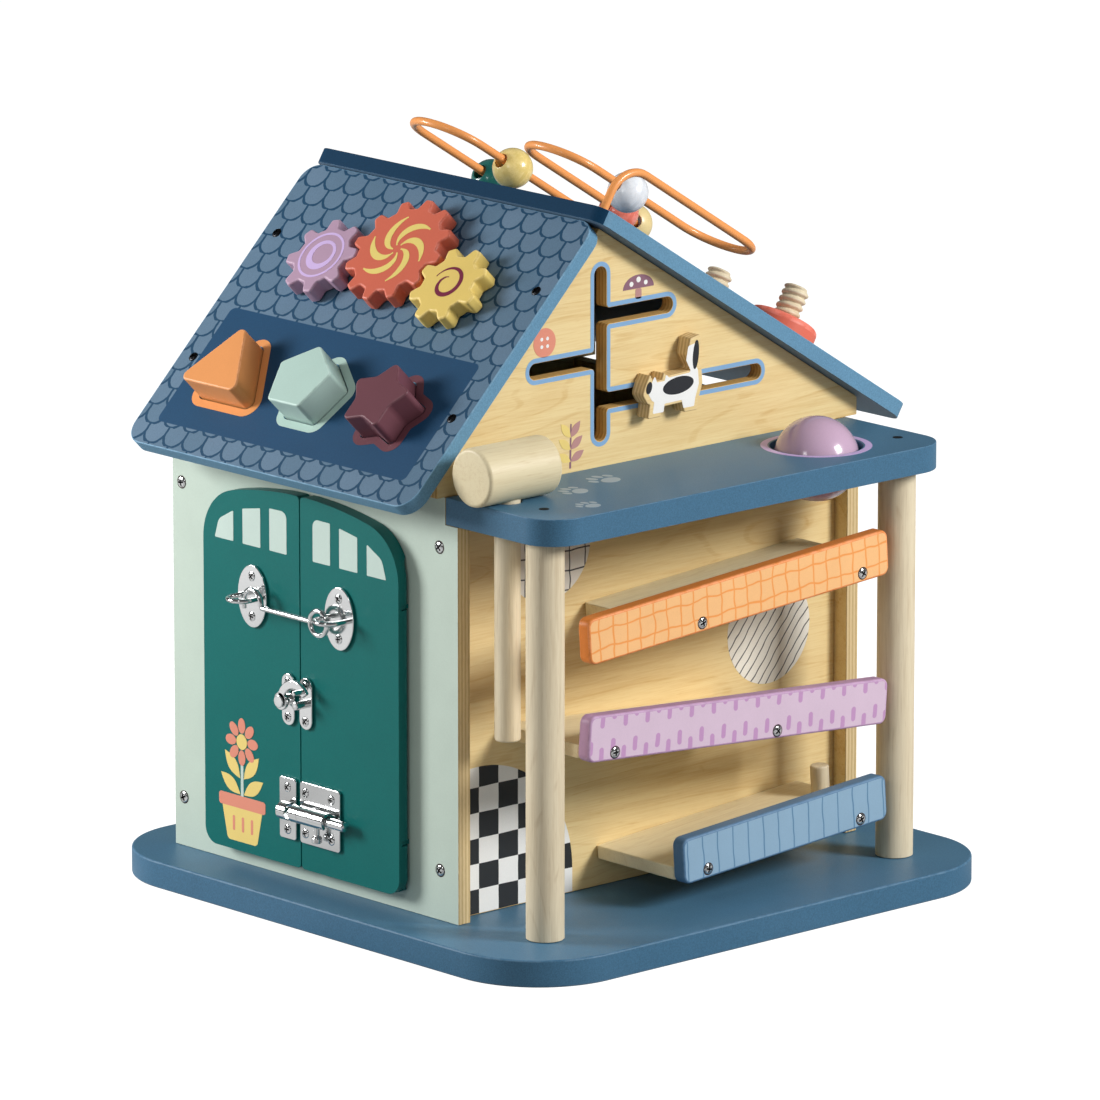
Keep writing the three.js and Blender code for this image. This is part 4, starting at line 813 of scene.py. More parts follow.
def gear_outline(teeth, tip, root, first, steps=28):
    """Rounded teeth: the radius swings between root and tip over each tooth."""
    points = []
    for i in range(teeth * steps):
        place = i / steps
        from_crest = abs(place - round(place))
        flank = max(0.0, min(1.0, (from_crest - 0.1) / 0.26))
        radius = root + (tip - root) * (1 + math.cos(math.pi * flank)) / 2
        angle = -(2 * math.pi * place / teeth + first)
        points.append((-radius * math.sin(angle), radius * math.cos(angle)))
    return points[::-1]


def gear(name, s, y, teeth, tip, root, first, finish):
    """A gear wheel of eased wood on its axle."""
    board(f"gear_{name}_wheel", [gear_outline(teeth, tip, root, first)], GEAR_THICKNESS,
          LEFT_ROOF @ shift(s, y, GEAR_LIFT), (finish,), f"gear_{name}", name, f"gear_{name}",
          eased=1.6)


# %% The three gears
gear("red", red_s, SEAM_Y, RED_TEETH, RED_TIP, red_root, 0, red_paint)
gear("lilac", small_s, SEAM_Y + small_shift, SMALL_TEETH, SMALL_TIP, small_root,
     math.pi - gear_lean, lilac_paint)
gear("yellow", small_s, SEAM_Y - small_shift, SMALL_TEETH, SMALL_TIP, small_root,
     gear_lean, yellow_paint)

# %% Painted figures on the gears
butter_paint = paint("butter_satin", "e3cd74", 0.45)
spiral_paint = paint("spiral_maroon", "782541", 0.45)
pale_lilac_paint = paint("pale_lilac_satin", "ccb2e0", 0.45)
gear_top = GEAR_LIFT + GEAR_THICKNESS


def stroke(radius_in, radius_out, start, sweep, width, steps=40):
    """A brush stroke that curves outward round a centre, wide in the middle and thin at its ends."""
    left, right = [], []
    for k in range(steps + 1):
        share = k / steps
        radius = radius_in + (radius_out - radius_in) * share ** 0.8
        angle = math.radians(start + sweep * share)
        half = width / 2 * max(0.12, math.sin(math.pi * share)) ** 0.7
        spoke = Vector((math.cos(angle), math.sin(angle)))
        round_it = Vector((-spoke.y, spoke.x)) * radius * math.radians(sweep)
        along = spoke * (radius_out - radius_in) + round_it
        across = Vector((-along.y, along.x)).normalized() * half
        left.append(tuple(spoke * radius + across))
        right.append(tuple(spoke * radius - across))
    return right + left[::-1]


# %% Paint them
red_face = LEFT_ROOF @ shift(red_s, SEAM_Y, gear_top)
for i in range(6):
    printed(f"pinwheel_arm_{i + 1}", [stroke(3, 23, 60 * i + 40, -82, 4.6)], red_face, butter_paint,
            "gear_red", "yellow")
lilac_face = LEFT_ROOF @ shift(small_s, SEAM_Y + small_shift, gear_top)
LILAC_RINGS = {"thick": [oval(0, 0, 10.4, count=56), oval(1.0, -0.6, 7.2, count=56)],
               "thin": [oval(0, 0, 15.95, count=56), oval(0, 0, 14.45, count=56)]}
for name, loops in LILAC_RINGS.items():
    printed(f"lilac_{name}_ring", loops, lilac_face, pale_lilac_paint, "gear_lilac", "lilac")
yellow_face = LEFT_ROOF @ shift(small_s, SEAM_Y - small_shift, gear_top)
printed("yellow_spiral", [stroke(4.5, 11.5, 20, 415, 3.0, steps=80)], yellow_face, spiral_paint,
        "gear_yellow", "maroon")
print("gears at", round(red_s, 1), "and", round(small_s, 1), "mm up the slope")

# %% [markdown]
# ## The right roof
# This side carries a bent steel wire in a thick glossy plastic coat, with beads to push
# along it, and big wooden nuts on threaded studs. The wire is one long path, swept with a
# round section. Its bends are arcs, as they are when wire is bent round a pin.

# %% The board
RIGHT_FRONT, RIGHT_REAR = -1.4, 246.5
RIGHT_RIDGE_CORNER, RIGHT_EAVE_CORNER = 10, 12
right_outline = rounded([(0, RIGHT_FRONT, RIGHT_RIDGE_CORNER),
                         (RIGHT_LENGTH, RIGHT_FRONT, RIGHT_EAVE_CORNER),
                         (RIGHT_LENGTH, RIGHT_REAR, RIGHT_EAVE_CORNER),
                         (0, RIGHT_REAR, RIGHT_RIDGE_CORNER)], steps=12)
WIRE = 5.0
WIRE_HEIGHT = 35.0
WIRE_FIRST_Y, WIRE_LAST_Y, LEGS = 22.5, 221.3, 5
WIRE_FOOT, WIRE_END, WIRE_BEND = 21.5, 148.0, 20.0
WIRE_LOW, WIRE_HIGH = 130.0, 50.5
STUD_AT, STUD_SHIFTS = 220.2, {"front": 57.0, "rear": 122.5}
SPIGOT_HOLE = 10.6
foot_holes = [oval(WIRE_FOOT, WIRE_FIRST_Y, WIRE / 2 + JOINT, count=24),
              oval(WIRE_END, WIRE_LAST_Y, WIRE / 2 + JOINT, count=24)]
stud_holes = [oval(STUD_AT, y, SPIGOT_HOLE / 2, count=32) for y in STUD_SHIFTS.values()]
board("right_roof_board", [right_outline] + foot_holes + stud_holes, PLY, RIGHT_ROOF,
      (right_paint, roof_rim, slate_paint, ridge_end_shade), "house", "slate_board", "roof_right",
      eased=0.7, base=-PLY)


# %% Helpers for bent wire
def run(path, heading, length):
    """Goes straight on from the path's last point."""
    path.append(path[-1] + heading * length)
    return heading


def bend(path, heading, axis, radius, angle, steps=12):
    """Goes round an arc about an axis and gives the new heading."""
    centre = path[-1] + axis.cross(heading) * radius
    spoke = path[-1] - centre
    for k in range(1, steps + 1):
        path.append(centre + Matrix.Rotation(angle * k / steps, 3, axis) @ spoke)
    return Matrix.Rotation(angle, 3, axis) @ heading


def wire_mesh(name, path, diameter):
    """Sweeps a round section along a path of points in millimetres, with closed ends."""
    bpy.ops.object.select_all(action="DESELECT")
    bpy.ops.curve.primitive_bezier_curve_add()
    curve = bpy.context.object
    curve.name = name
    curve.data.splines.clear()
    spline = curve.data.splines.new("POLY")
    spline.points.add(len(path) - 1)
    for point, place in zip(spline.points, path):
        point.co = (*place, 1)
    curve.data.dimensions = "3D"
    curve.data.bevel_depth = diameter / 2
    curve.data.bevel_resolution = 5
    curve.data.use_fill_caps = True
    bpy.ops.object.convert(target="MESH")
    bpy.ops.object.mode_set(mode="EDIT")
    bpy.ops.mesh.select_all(action="SELECT")
    bpy.ops.mesh.remove_doubles(threshold=MERGE)
    bpy.ops.mesh.normals_make_consistent(inside=False)
    bpy.ops.object.mode_set(mode="OBJECT")
    return bpy.context.object


# %% The bead wire
AXIS_X, AXIS_Y, AXIS_Z = Vector((1, 0, 0)), Vector((0, 1, 0)), Vector((0, 0, 1))
wire_paint = paint("wire_coat", "f3a05a", 0.36, gloss=0.35, mottle=0.03, speck=0.02)
leg_pitch = (WIRE_LAST_Y - WIRE_FIRST_Y) / (LEGS - 1)
path = [Vector((WIRE_FOOT, WIRE_FIRST_Y, -PLY))]
heading = run(path, AXIS_Z, PLY + WIRE_HEIGHT - WIRE_BEND)
heading = bend(path, heading, AXIS_Y, WIRE_BEND, math.pi / 2)
run(path, heading, WIRE_LOW - WIRE_FOOT - WIRE_BEND)
for leg in range(1, LEGS):
    turn_axis = AXIS_Z if leg % 2 else -AXIS_Z
    heading = bend(path, heading, turn_axis, leg_pitch / 2, math.pi, steps=24)
    last = leg == LEGS - 1
    run(path, heading, WIRE_END - WIRE_BEND - WIRE_HIGH if last else WIRE_LOW - WIRE_HIGH)
heading = bend(path, heading, AXIS_Y, WIRE_BEND, math.pi / 2)
run(path, heading, PLY + WIRE_HEIGHT - WIRE_BEND)
bead_track = wire_mesh("bead_track", path, WIRE)
bead_track.data.materials.append(wire_paint)
settle(bead_track, RIGHT_ROOF)
keep(bead_track, "house", "orange_wire", "bead_wire")
print("wire path", len(path), "points, legs", round(leg_pitch, 1), "mm apart")

# %% [markdown]
# ## Turned pieces
# Beads, nuts, posts, the mallet and the ball come off a lathe. A profile is spun about Z,
# just as the chisel's edge is, and then its rims are eased.

# %% Spin a profile
def turned(name, profile, steps=56):
    """A closed profile of (radius, height) points in millimetres, spun about Z."""
    bpy.ops.object.select_all(action="DESELECT")
    bpy.ops.mesh.primitive_circle_add(vertices=len(profile), radius=1)
    piece = bpy.context.object
    piece.name = name
    for vertex, (radius, height) in zip(piece.data.vertices, profile):
        vertex.co = (radius, 0, height)
    bpy.ops.object.mode_set(mode="EDIT")
    bpy.ops.mesh.select_all(action="SELECT")
    bpy.ops.mesh.spin(steps=steps, angle=2 * math.pi, center=(0, 0, 0), axis=(0, 0, 1))
    bpy.ops.mesh.select_all(action="SELECT")
    bpy.ops.mesh.remove_doubles(threshold=MERGE)
    bpy.ops.mesh.dissolve_degenerate(threshold=MERGE)
    bpy.ops.mesh.normals_make_consistent(inside=False)
    bpy.ops.object.mode_set(mode="OBJECT")
    return piece


# %% A whole turned piece
def tube(inner, outer, low, high):
    """The profile of a tube, or of a solid rod where the inner radius is nought."""
    return [(inner, low), (outer, low), (outer, high), (inner, high)]


def turned_piece(name, profile, place, finish, body, slot_name, *nodes, eased=0.0, steps=56):
    """A whole turned piece in one call."""
    piece = turned(name, profile, steps)
    if eased:
        ease(piece, eased)
    piece.data.materials.append(finish)
    settle(piece, place)
    return keep(piece, body, slot_name, *nodes)


# %% Beads on the wire
BEAD, BORE = 24.0, 8.8
BEAD_DROP = 1.2
BEAD_REST_GAP = 0.53
BEAD_LEAN = -41
bore_end = math.pi / 2 - math.asin(BORE / BEAD)
bead_profile = arc(0, 0, BEAD / 2, BEAD / 2, -bore_end, bore_end, 24)
white_gloss = paint("white_gloss", "e3e7ec", 0.25, gloss=0.7, mottle=0.01, speck=0.01)
coral_gloss = paint("coral_gloss", "e5735f", 0.25, gloss=0.7)
yellow_gloss = paint("yellow_gloss", "e9cf7c", 0.25, gloss=0.7)
green_gloss = paint("green_gloss", "0f5f58", 0.25, gloss=0.7)
honey_gloss = timber("honey_wood", wood_grain, (0, 0, 0), "ebd598", "e0c684", coat=0.8, Figure=0.4)
BEND_PLAY = 1.55
bead_turn = leg_pitch / 2 - BEND_PLAY
natural_t = WIRE_LOW + bead_turn * math.cos(math.radians(BEAD_LEAN))
natural_reach = leg_pitch / 2 + bead_turn * math.sin(math.radians(BEAD_LEAN))
coral_t = natural_t - math.sqrt((BEAD + BEAD_REST_GAP) ** 2 - natural_reach ** 2)
# Each bead: its place down the slope, its leg of the wire and its paint
BEADS = {"white": (79.5, 1, white_gloss), "coral": (coral_t, 2, coral_gloss),
         "yellow": (80.0, 3, yellow_gloss), "green": (113.0, 4, green_gloss)}
for name, (t, leg, finish) in BEADS.items():
    place = RIGHT_ROOF @ shift(t, WIRE_FIRST_Y + leg * leg_pitch, WIRE_HEIGHT - BEAD_DROP)
    turned_piece(f"{name}_bead", bead_profile, place @ turn(90, "Y"), finish, f"bead_{name}", name,
                 f"bead_{name}", eased=0.5, steps=48)
place = (RIGHT_ROOF @ shift(natural_t, WIRE_FIRST_Y + 2 * leg_pitch + natural_reach, WIRE_HEIGHT)
         @ turn(90 + BEAD_LEAN, "Z") @ turn(90, "Y"))
turned_piece("natural_bead", bead_profile, place, honey_gloss, "bead_natural", "natural",
             "bead_natural", eased=0.5, steps=48)

# %% [markdown]
# ## Studs and nuts
# A child screws the big round nuts down over the studs. The thread is coarse and round, so
# that it runs easily in wood. It is drawn as a skin whose radius falls into a groove once in
# every turn of the way up.

# %% A threaded stud
STUD, STUD_HEIGHT, THREAD, GROOVE, STUD_DOME = 16.0, 38.5, 4.2, 1.5, 2
ROUND_STEPS, HEIGHT_STEPS = 40, 76


def threaded_stud(name, place, finish):
    """A stud with a round-bottomed screw groove and a rounded top."""
    bpy.ops.object.select_all(action="DESELECT")
    bpy.ops.mesh.primitive_grid_add(x_subdivisions=ROUND_STEPS, y_subdivisions=HEIGHT_STEPS, size=2)
    stud = bpy.context.object
    stud.name = name
    for vertex in stud.data.vertices:
        angle = math.pi * (vertex.co.x + 1)
        height = JOINT + (STUD_HEIGHT - JOINT) * (vertex.co.y + 1) / 2
        turns = height / THREAD - angle / (2 * math.pi)
        groove = GROOVE * (0.5 + 0.5 * math.cos(2 * math.pi * turns)) ** 1.6
        end = max(0.0, height - STUD_HEIGHT + STUD_DOME)
        radius = STUD / 2 - groove - end * end * 0.5
        vertex.co = (radius * math.cos(angle), radius * math.sin(angle), height)
    bpy.ops.object.mode_set(mode="EDIT")
    bpy.ops.mesh.select_all(action="SELECT")
    bpy.ops.mesh.remove_doubles(threshold=MERGE)
    bpy.ops.mesh.select_mode(type="EDGE")
    bpy.ops.mesh.select_all(action="DESELECT")
    bpy.ops.mesh.select_non_manifold()
    bpy.ops.mesh.fill_holes(sides=0)
    bpy.ops.mesh.select_all(action="SELECT")
    bpy.ops.mesh.normals_make_consistent(inside=False)
    bpy.ops.object.mode_set(mode="OBJECT")
    stud.data.materials.append(finish)
    settle(stud, place)
    return stud


# %% The studs with their nuts
NUT, NUT_HEIGHT, NUT_EDGE = 43.0, 18.2, 4.0
nut_bore, nut_top, nut_side = STUD / 2 + JOINT, JOINT + NUT_HEIGHT, NUT / 2 - NUT_EDGE
nut_profile = [(nut_bore, JOINT)]
nut_profile += arc(nut_side, JOINT + NUT_EDGE, NUT_EDGE, NUT_EDGE, -math.pi / 2, 0, 6)
nut_profile += arc(nut_side, nut_top - NUT_EDGE, NUT_EDGE, NUT_EDGE, 0, math.pi / 2, 6)
nut_profile += [(nut_bore, nut_top)]
for place_name, y in STUD_SHIFTS.items():
    here = RIGHT_ROOF @ shift(STUD_AT, y, 0)
    stud = threaded_stud(f"threaded_stud_{place_name}", here, pale_wood_z)
    keep(stud, "house", "natural", f"stud_{place_name}")
    turned_piece(f"round_nut_{place_name}", nut_profile, here, coral_paint, f"nut_{place_name}",
                 "coral", f"nut_{place_name}", eased=0.4)

# %% [markdown]
# ## The porch
# The deck is a thick painted board with two holes: a wide one where a ball is squeezed
# through a stretchy ring, and a narrow one that the mallet's handle hangs in. Three boards
# under it lead a ball down from side to side, and a painted rail stands in front of each.

# %% The deck
DECK_THICKNESS = 15.7
DECK_END = HOUSE_WIDTH - 0.6
DECK_FRONT, DECK_REAR, DECK_CORNER = -77.9, 10.1, 22
BALL_AT = (247.8, -33.0)
BALL, BALL_HOLE, BALL_BORDER = 50.0, 54.0, 64.6
MALLET_AT = (19.6, -20.1)
MALLET_HOLE = 8.3
deck_outline = rounded([(0, DECK_FRONT, DECK_CORNER), (DECK_END, DECK_FRONT, DECK_CORNER),
                        (DECK_END, DECK_REAR, 0.5), (0, DECK_REAR, 0.5)], steps=16)
board("porch_board", [deck_outline, oval(*BALL_AT, BALL_HOLE / 2, count=64),
                      oval(*MALLET_AT, MALLET_HOLE, count=40)],
      DECK_THICKNESS, HOUSE, (blue_paint, rim_blue_shaded), "house", "blue_board", "porch_deck",
      eased=1.1, base=DECK_BOTTOM)
DECK_FACE = HOUSE @ shift(0, 0, DECK_TOP)
printed("ball_hole_ring", [oval(*BALL_AT, BALL_BORDER / 2, count=72),
                           oval(*BALL_AT, BALL_HOLE / 2 + 1.2, count=72)],
        DECK_FACE, pale_lilac_paint, "house", "lilac")

# %% Paw prints, and painted shade for screw holes on the deck
hole_shade = paint("hole_shade", "10171d", 0.7)
grey_print = paint("grey_print", "9fb0bb", 0.5)
# Each paw: its place on the deck, its width and its turn in degrees. Each toe: its middle and
# its two half widths on a paw of the full width
PAWS = ((97.6, -16.0, 24.0, 20), (65.0, -26.0, 21.0, 35), (47.0, -58.0, 18.0, 10))
PAW = 24
TOES = ((-8.6, 2.6, 2.3, 3.4), (-3.2, 6.4, 2.4, 3.8), (3.2, 6.4, 2.4, 3.8), (8.6, 2.6, 2.3, 3.4))
for i, (x, y, size, lean) in enumerate(PAWS):
    scale = Matrix.Diagonal((size / PAW, size / PAW, 1, 1))
    here = DECK_FACE @ shift(x, y, 0) @ turn(lean, "Z") @ scale
    printed(f"paw_{i + 1}_pad", [oval(0, -4, 7, 5.2, count=28)], here, grey_print, "house", "white")
    for j, toe in enumerate(TOES):
        printed(f"paw_{i + 1}_toe_{j + 1}", [oval(*toe, count=20)], here, grey_print, "house", "white")
# Each screw hole is a flat near-black disc on the deck: painted shade, not a hole.
for i, (x, y) in enumerate(((21.6, -48.6), (297, -49.6))):
    printed(f"deck_screw_hole_shade_{i + 1}", [oval(x, y, 3, count=28)], DECK_FACE, hole_shade, "house",
            "rubber")

# %% The ball in its ring
ball_gloss = paint("ball_gloss", "c6a7bf", 0.22, gloss=0.8, mottle=0.03)
ring_rubber = paint("ring_rubber", "2c3742", 0.65)
RING_HEIGHT = 7.0
ball_z = DECK_BOTTOM + DECK_THICKNESS / 2
ball_profile = arc(0, 0, BALL / 2, BALL / 2, -math.pi / 2, math.pi / 2, 40)
here = HOUSE @ shift(*BALL_AT, ball_z)
turned_piece("lilac_ball", ball_profile, here, ball_gloss, "ball", "lilac", "ball", steps=72)
turned_piece("stretch_ring", tube(BALL / 2 + JOINT, BALL_HOLE / 2 - JOINT, -RING_HEIGHT / 2,
                                  RING_HEIGHT / 2),
             here, ring_rubber, "house", "rubber", "ball_ring", eased=0.4, steps=72)

# %% The mallet
MALLET_LENGTH, MALLET, HANDLE = 55.0, 34.0, 15.0
SOCKET = 20.0
HANDLE_DROP = 156.0
mallet_z = DECK_TOP + JOINT + MALLET / 2
here = HOUSE @ shift(*MALLET_AT, mallet_z)
pale_end = timber("pale_wood_mallet", wood_grain, (0, 0, 0), "dfd1ac", "ba9c6a", Figure=0.5)
turned_piece("mallet_block", tube(0, MALLET / 2, -MALLET_LENGTH / 2, MALLET_LENGTH / 2),
             here @ turn(90, "Y"), pale_end, "mallet", "natural", "mallet_head", eased=2.4, steps=80)
turned_piece("mallet_grip", tube(0, HANDLE / 2, -HANDLE_DROP, SOCKET - MALLET / 2 - JOINT),
             here, pale_wood_z, "mallet", "natural", "mallet_handle", eased=1.7, steps=48)

# %% Posts
POST, POST_Y = 22.0, -53.4
POSTS_X = {"left": 18.0, "right": HOUSE_WIDTH - 21.0}
for name, x in POSTS_X.items():
    turned_piece(f"porch_post_{name}", tube(0, POST / 2, JOINT, DECK_BOTTOM - JOINT),
                 HOUSE @ shift(x, POST_Y, 0), pale_wood_z, "house", "natural", f"post_{name}",
                 eased=0.4)

# %% [markdown]
# ## The three ball runs
# Each run leans by four degrees, and the rail in front leans with it. The rails are painted
# in a base colour, then printed: a hand-drawn grid, short dashes, or upright lines. A formula
# in the rail's own length and height draws each print, and a little noise makes it wobble
# like a brush line.

# %% A printed paint
def print_material(name, place, base, marks, draw, roughness=0.45, wander=7.0):
    """Paint of a base colour with marks in a second colour where draw gives one."""
    material, tree, effect = new_material(name, paint_film, Roughness=roughness)
    local = in_frame(tree, place)
    drawn = vector(tree, "MULTIPLY_ADD", wobble(tree, local, 0.07, 1.0), (wander, wander, 0), local)
    axes = node(tree, "SeparateXYZ", drawn)
    mask = draw(tree, axes.outputs["X"], axes.outputs["Y"])
    tree.links.new(mix(tree, mask, colour_of(base), colour_of(marks)), effect.inputs["Colour"])
    return material


# %% Lines, squares and dashes
def from_middle(tree, value, pitch):
    """How far a value is from the middle of its own pitch."""
    return minus(tree, calc(tree, "FLOORED_MODULO", value, pitch), pitch / 2)


def stripes(tree, value, pitch, width, soft=0.25):
    """One on thin lines across a value, at every pitch."""
    from_line = calc(tree, "ABSOLUTE", from_middle(tree, value, pitch))
    return minus(tree, 1, soft_step(tree, from_line, width / 2 - soft, width / 2 + soft))


def grid_print(tree, x, y):
    """Thin lines both ways."""
    return calc(tree, "MAXIMUM", stripes(tree, x, 10.4, 1.1), stripes(tree, y, 11.5, 1.1))


def line_print(tree, x, y):
    """Thin upright lines, a little uneven."""
    return stripes(tree, x, 11.9, 0.9)


DASH_PITCH, DASH_ROW, DASH_DROP = 8.6, 20.0, 4.6


def dash_print(tree, x, y):
    """Short thick dashes in rows; every other dash is set a little lower."""
    column = calc(tree, "FLOOR", calc(tree, "DIVIDE", x, DASH_PITCH))
    drop = times(tree, calc(tree, "PINGPONG", column, 1), DASH_DROP)
    up = from_middle(tree, plus(tree, y, 15.0, drop), DASH_ROW)
    along = calc(tree, "MAXIMUM", minus(tree, calc(tree, "ABSOLUTE", up), 2.6), 0)
    away = length_of(tree, from_middle(tree, x, DASH_PITCH), along)
    return minus(tree, 1, soft_step(tree, away, 1.5, 1.95))


# %% Measures of the ball runs
RAIL_HEIGHT, RAIL_THICKNESS, RAIL_BACK = 27.0, 9.3, -56.0
RAIL_RIGHT = HOUSE_WIDTH - 38.65
RAIL_CORNER, RAIL_END_GAP = 5, 1
RAMP_THICKNESS, RAMP_DROP, RAMP_LENGTH = 8.0, 8.4, 169.0
PEG, PEG_HEIGHT, PEG_FROM_END, PEG_Y = 11.0, 18, 11, -22
# Each run: where its rail starts, its height as a share of the deck's, its lean in degrees, the
# colours of its face, marks and sides, its print, how unsteady that is, and its finish's name
RUNS = {
    "upper": (40.65, 0.7673, 4, "f4bd82", "f09c52", "e3873f", grid_print, 4.5, "orange"),
    "middle": (40.65, 0.455, -4, "d5bdd0", "c093be", "b691b4", dash_print, 1.6, "lilac"),
    "lower": (113.85, 0.1495, 4, "8eadc4", "5a83a4", "54799a", line_print, 2.5, "slate"),
}

# %% Rails and run boards
for name, (start_x, share, lean, base, marks, side, draw, wander, slot_name) in RUNS.items():
    length = RAIL_RIGHT - start_x
    run_frame = HOUSE @ shift((start_x + RAIL_RIGHT) / 2, 0, share * DECK_BOTTOM) @ turn(-lean, "Y")
    rail_frame = run_frame @ shift(0, RAIL_BACK, 0) @ PORCH_SIDE
    finish = print_material(f"{name}_rail_print", rail_frame, base, marks, draw, wander=wander)
    side_finish = paint(f"{name}_rail_side", side, 0.42, speck=0.2)
    face = rectangle(-length / 2, -RAIL_HEIGHT / 2, length / 2, RAIL_HEIGHT / 2, RAIL_CORNER)
    board(f"{name}_rail", [face], RAIL_THICKNESS, rail_frame, (finish, side_finish),
          "house", slot_name, f"ramp_rail_{name}", eased=1.4)
    far_end = length / 2 - RAIL_END_GAP
    reach = min(RAMP_LENGTH, 2 * far_end)
    start = far_end - reach if lean > 0 else -far_end
    board(f"{name}_run_board", [rectangle(start, RAIL_BACK + JOINT, start + reach,
                                          FRONT_WALL_Y - JOINT, 2)],
          RAMP_THICKNESS, run_frame @ shift(0, 0, -RAMP_DROP - RAMP_THICKNESS / 2), (pale_wood_x,),
          "house", "natural", f"ramp_board_{name}", eased=0.8)
    if name == "lower":
        seat = RAMP_THICKNESS / 2 - RAMP_DROP + JOINT
        turned_piece("run_stop_peg", tube(0, PEG / 2, 0, PEG_HEIGHT),
                     run_frame @ shift(far_end - PEG_FROM_END, PEG_Y, seat), pale_wood_z, "house",
                     "natural", "ramp_peg", eased=1.2, steps=32)
print("ball runs made:", ", ".join(RUNS))

# %% [markdown]
# ## The sliding figure and the prints on the gable
# The slot has a painted border, laid flush on the wood. A small cat of thick plywood slides
# in one branch of the slot. Its face is printed white with dark patches, a little inside
# its cut edge, so a thin rim of bare wood stays round the print.

# %% The slot's border and the cat
border_blue = paint("border_blue", "82aad0", 0.5)
printed("slot_border", [slot_outline(3.0), slot_outline(0.35)], FRONT_FACE, border_blue, "house",
        "blue_board")
CAT_AT = (SLOT_X + 48.4, SLOT_CAT_Z)
CAT_LENGTH, CAT_HEIGHT, CAT_THICKNESS = 50.0, 44.0, 10.0
CAT_GAP, CAT_ROUNDING = 0.5, 1.2
CAT_PEG_RADIUS, CAT_PEG_END = 4.2, 14.5
CAT_FRONT = FRONT_WALL_Y - CAT_GAP - CAT_THICKNESS
# Corners as shares of the cat's length and height, each with its radius before the cat's scale
cat_shares = [
    (-0.42, -0.286, 0.8), (-0.22, -0.286, 0.8), (-0.2, -0.16, 0.8), (0.12, -0.15, 0.8),
    (0.15, -0.286, 0.8), (0.35, -0.286, 0.8), (0.37, -0.16, 1), (0.44, 0.06, 3),
    (0.42, 0.28, 2.4), (0.32, 0.47, 2), (0.42, 0.6, 1.4), (0.4, 0.714, 1),
    (0.24, 0.68, 1.4), (0.2, 0.46, 2.4), (0.3, 0.26, 1.2), (-0.12, 0.24, 2.2),
    (-0.17, 0.3, 0.6), (-0.2, 0.2, 0.6), (-0.34, 0.2, 0.6), (-0.38, 0.31, 0.6),
    (-0.45, 0.18, 0.8), (-0.5, 0.04, 2.4), (-0.43, -0.08, 1.6), (-0.39, -0.1, 0.8)]


def cat_outline(share=1.0, x=0.0, y=0.0):
    """The cat's outline, at full size or smaller for its print."""
    corners = [(u * CAT_LENGTH, v * CAT_HEIGHT, corner * CAT_ROUNDING) for u, v, corner in cat_shares]
    return [(px * share + x, py * share + y) for px, py in rounded(corners, steps=6)]


cat_frame = HOUSE @ shift(CAT_AT[0], CAT_FRONT, CAT_AT[1]) @ PORCH_SIDE
cat_edge = timber("cat_edge", ply_layers, (90, 0, 0), "e2c794", "b08d58")
board("cat_cutout", [cat_outline()], CAT_THICKNESS, cat_frame @ shift(0, 0, -CAT_THICKNESS),
      (wall_wood, cat_edge, wall_wood), "cat", "cat_print", "cat_slider", eased=0.9)
turned_piece("cat_peg", tube(0, CAT_PEG_RADIUS, -1, CAT_PEG_END),
             cat_frame @ shift(0, 0, -CAT_THICKNESS) @ turn(180, "X"), pale_wood_x, "cat",
             "cat_print", eased=0.5, steps=32)

# %% The cat's prints, and the washer behind the wall
white_print = paint("white_print", "efeeea", 0.45, mottle=0.03)
black_print = paint("black_print", "26282c", 0.45, mottle=0.1)
printed("cat_white_coat", [cat_outline(0.84, 0.2, 0.6)], cat_frame, white_print, "cat", "cat_print")
# Each patch: its middle, its two half widths and its lean in degrees
PATCHES = {"back": (2.5, 4.0, 12.0, 5.0, 4), "tail": (16.2, 20.0, 2.3, 8.5, -6),
           "cheek": (-20.2, 5.6, 2.1, 3.6, -18)}
PATCH_LAYER = 1.4
for name, patch in PATCHES.items():
    printed(f"cat_patch_{name}", [oval(*patch)], cat_frame, black_print, "cat", "cat_print",
            PATCH_LAYER)
WASHER_BORE, WASHER_RADIUS, WASHER_THICKNESS = 4.5, 9.5, 3
turned_piece("cat_washer", tube(WASHER_BORE, WASHER_RADIUS, 0, WASHER_THICKNESS),
             HOUSE @ shift(CAT_AT[0], FRONT_WALL_Y + PLY + CAT_GAP, CAT_AT[1]) @ turn(-90, "X"),
             pale_wood_x, "cat", "natural", "slider_washer", eased=0.5, steps=40)

# %% Helpers for the prints on the gable
coral_print = paint("coral_print", "e08f78", 0.5)
plum_print = paint("plum_print", "8c6474", 0.5)
butter_print = paint("butter_print", "ead07c", 0.5)
mauve_print = paint("mauve_print", "b98a86", 0.5)


def wall_print(name, outline, finish, slot_name="coral", layer=0):
    """A print on the face of the front gable."""
    printed(name, [outline], FRONT_FACE, finish, "house", slot_name, layer)


def leaf(x, y, length, width, lean, steps=12):
    """A pointed leaf from its foot, leaning by an angle in degrees from the upright."""
    side = [(width / 2 * math.sin(math.pi * k / steps), length * k / steps) for k in range(steps + 1)]
    return leant(side + [(-px, py) for px, py in side[-2:0:-1]], x, y, lean)


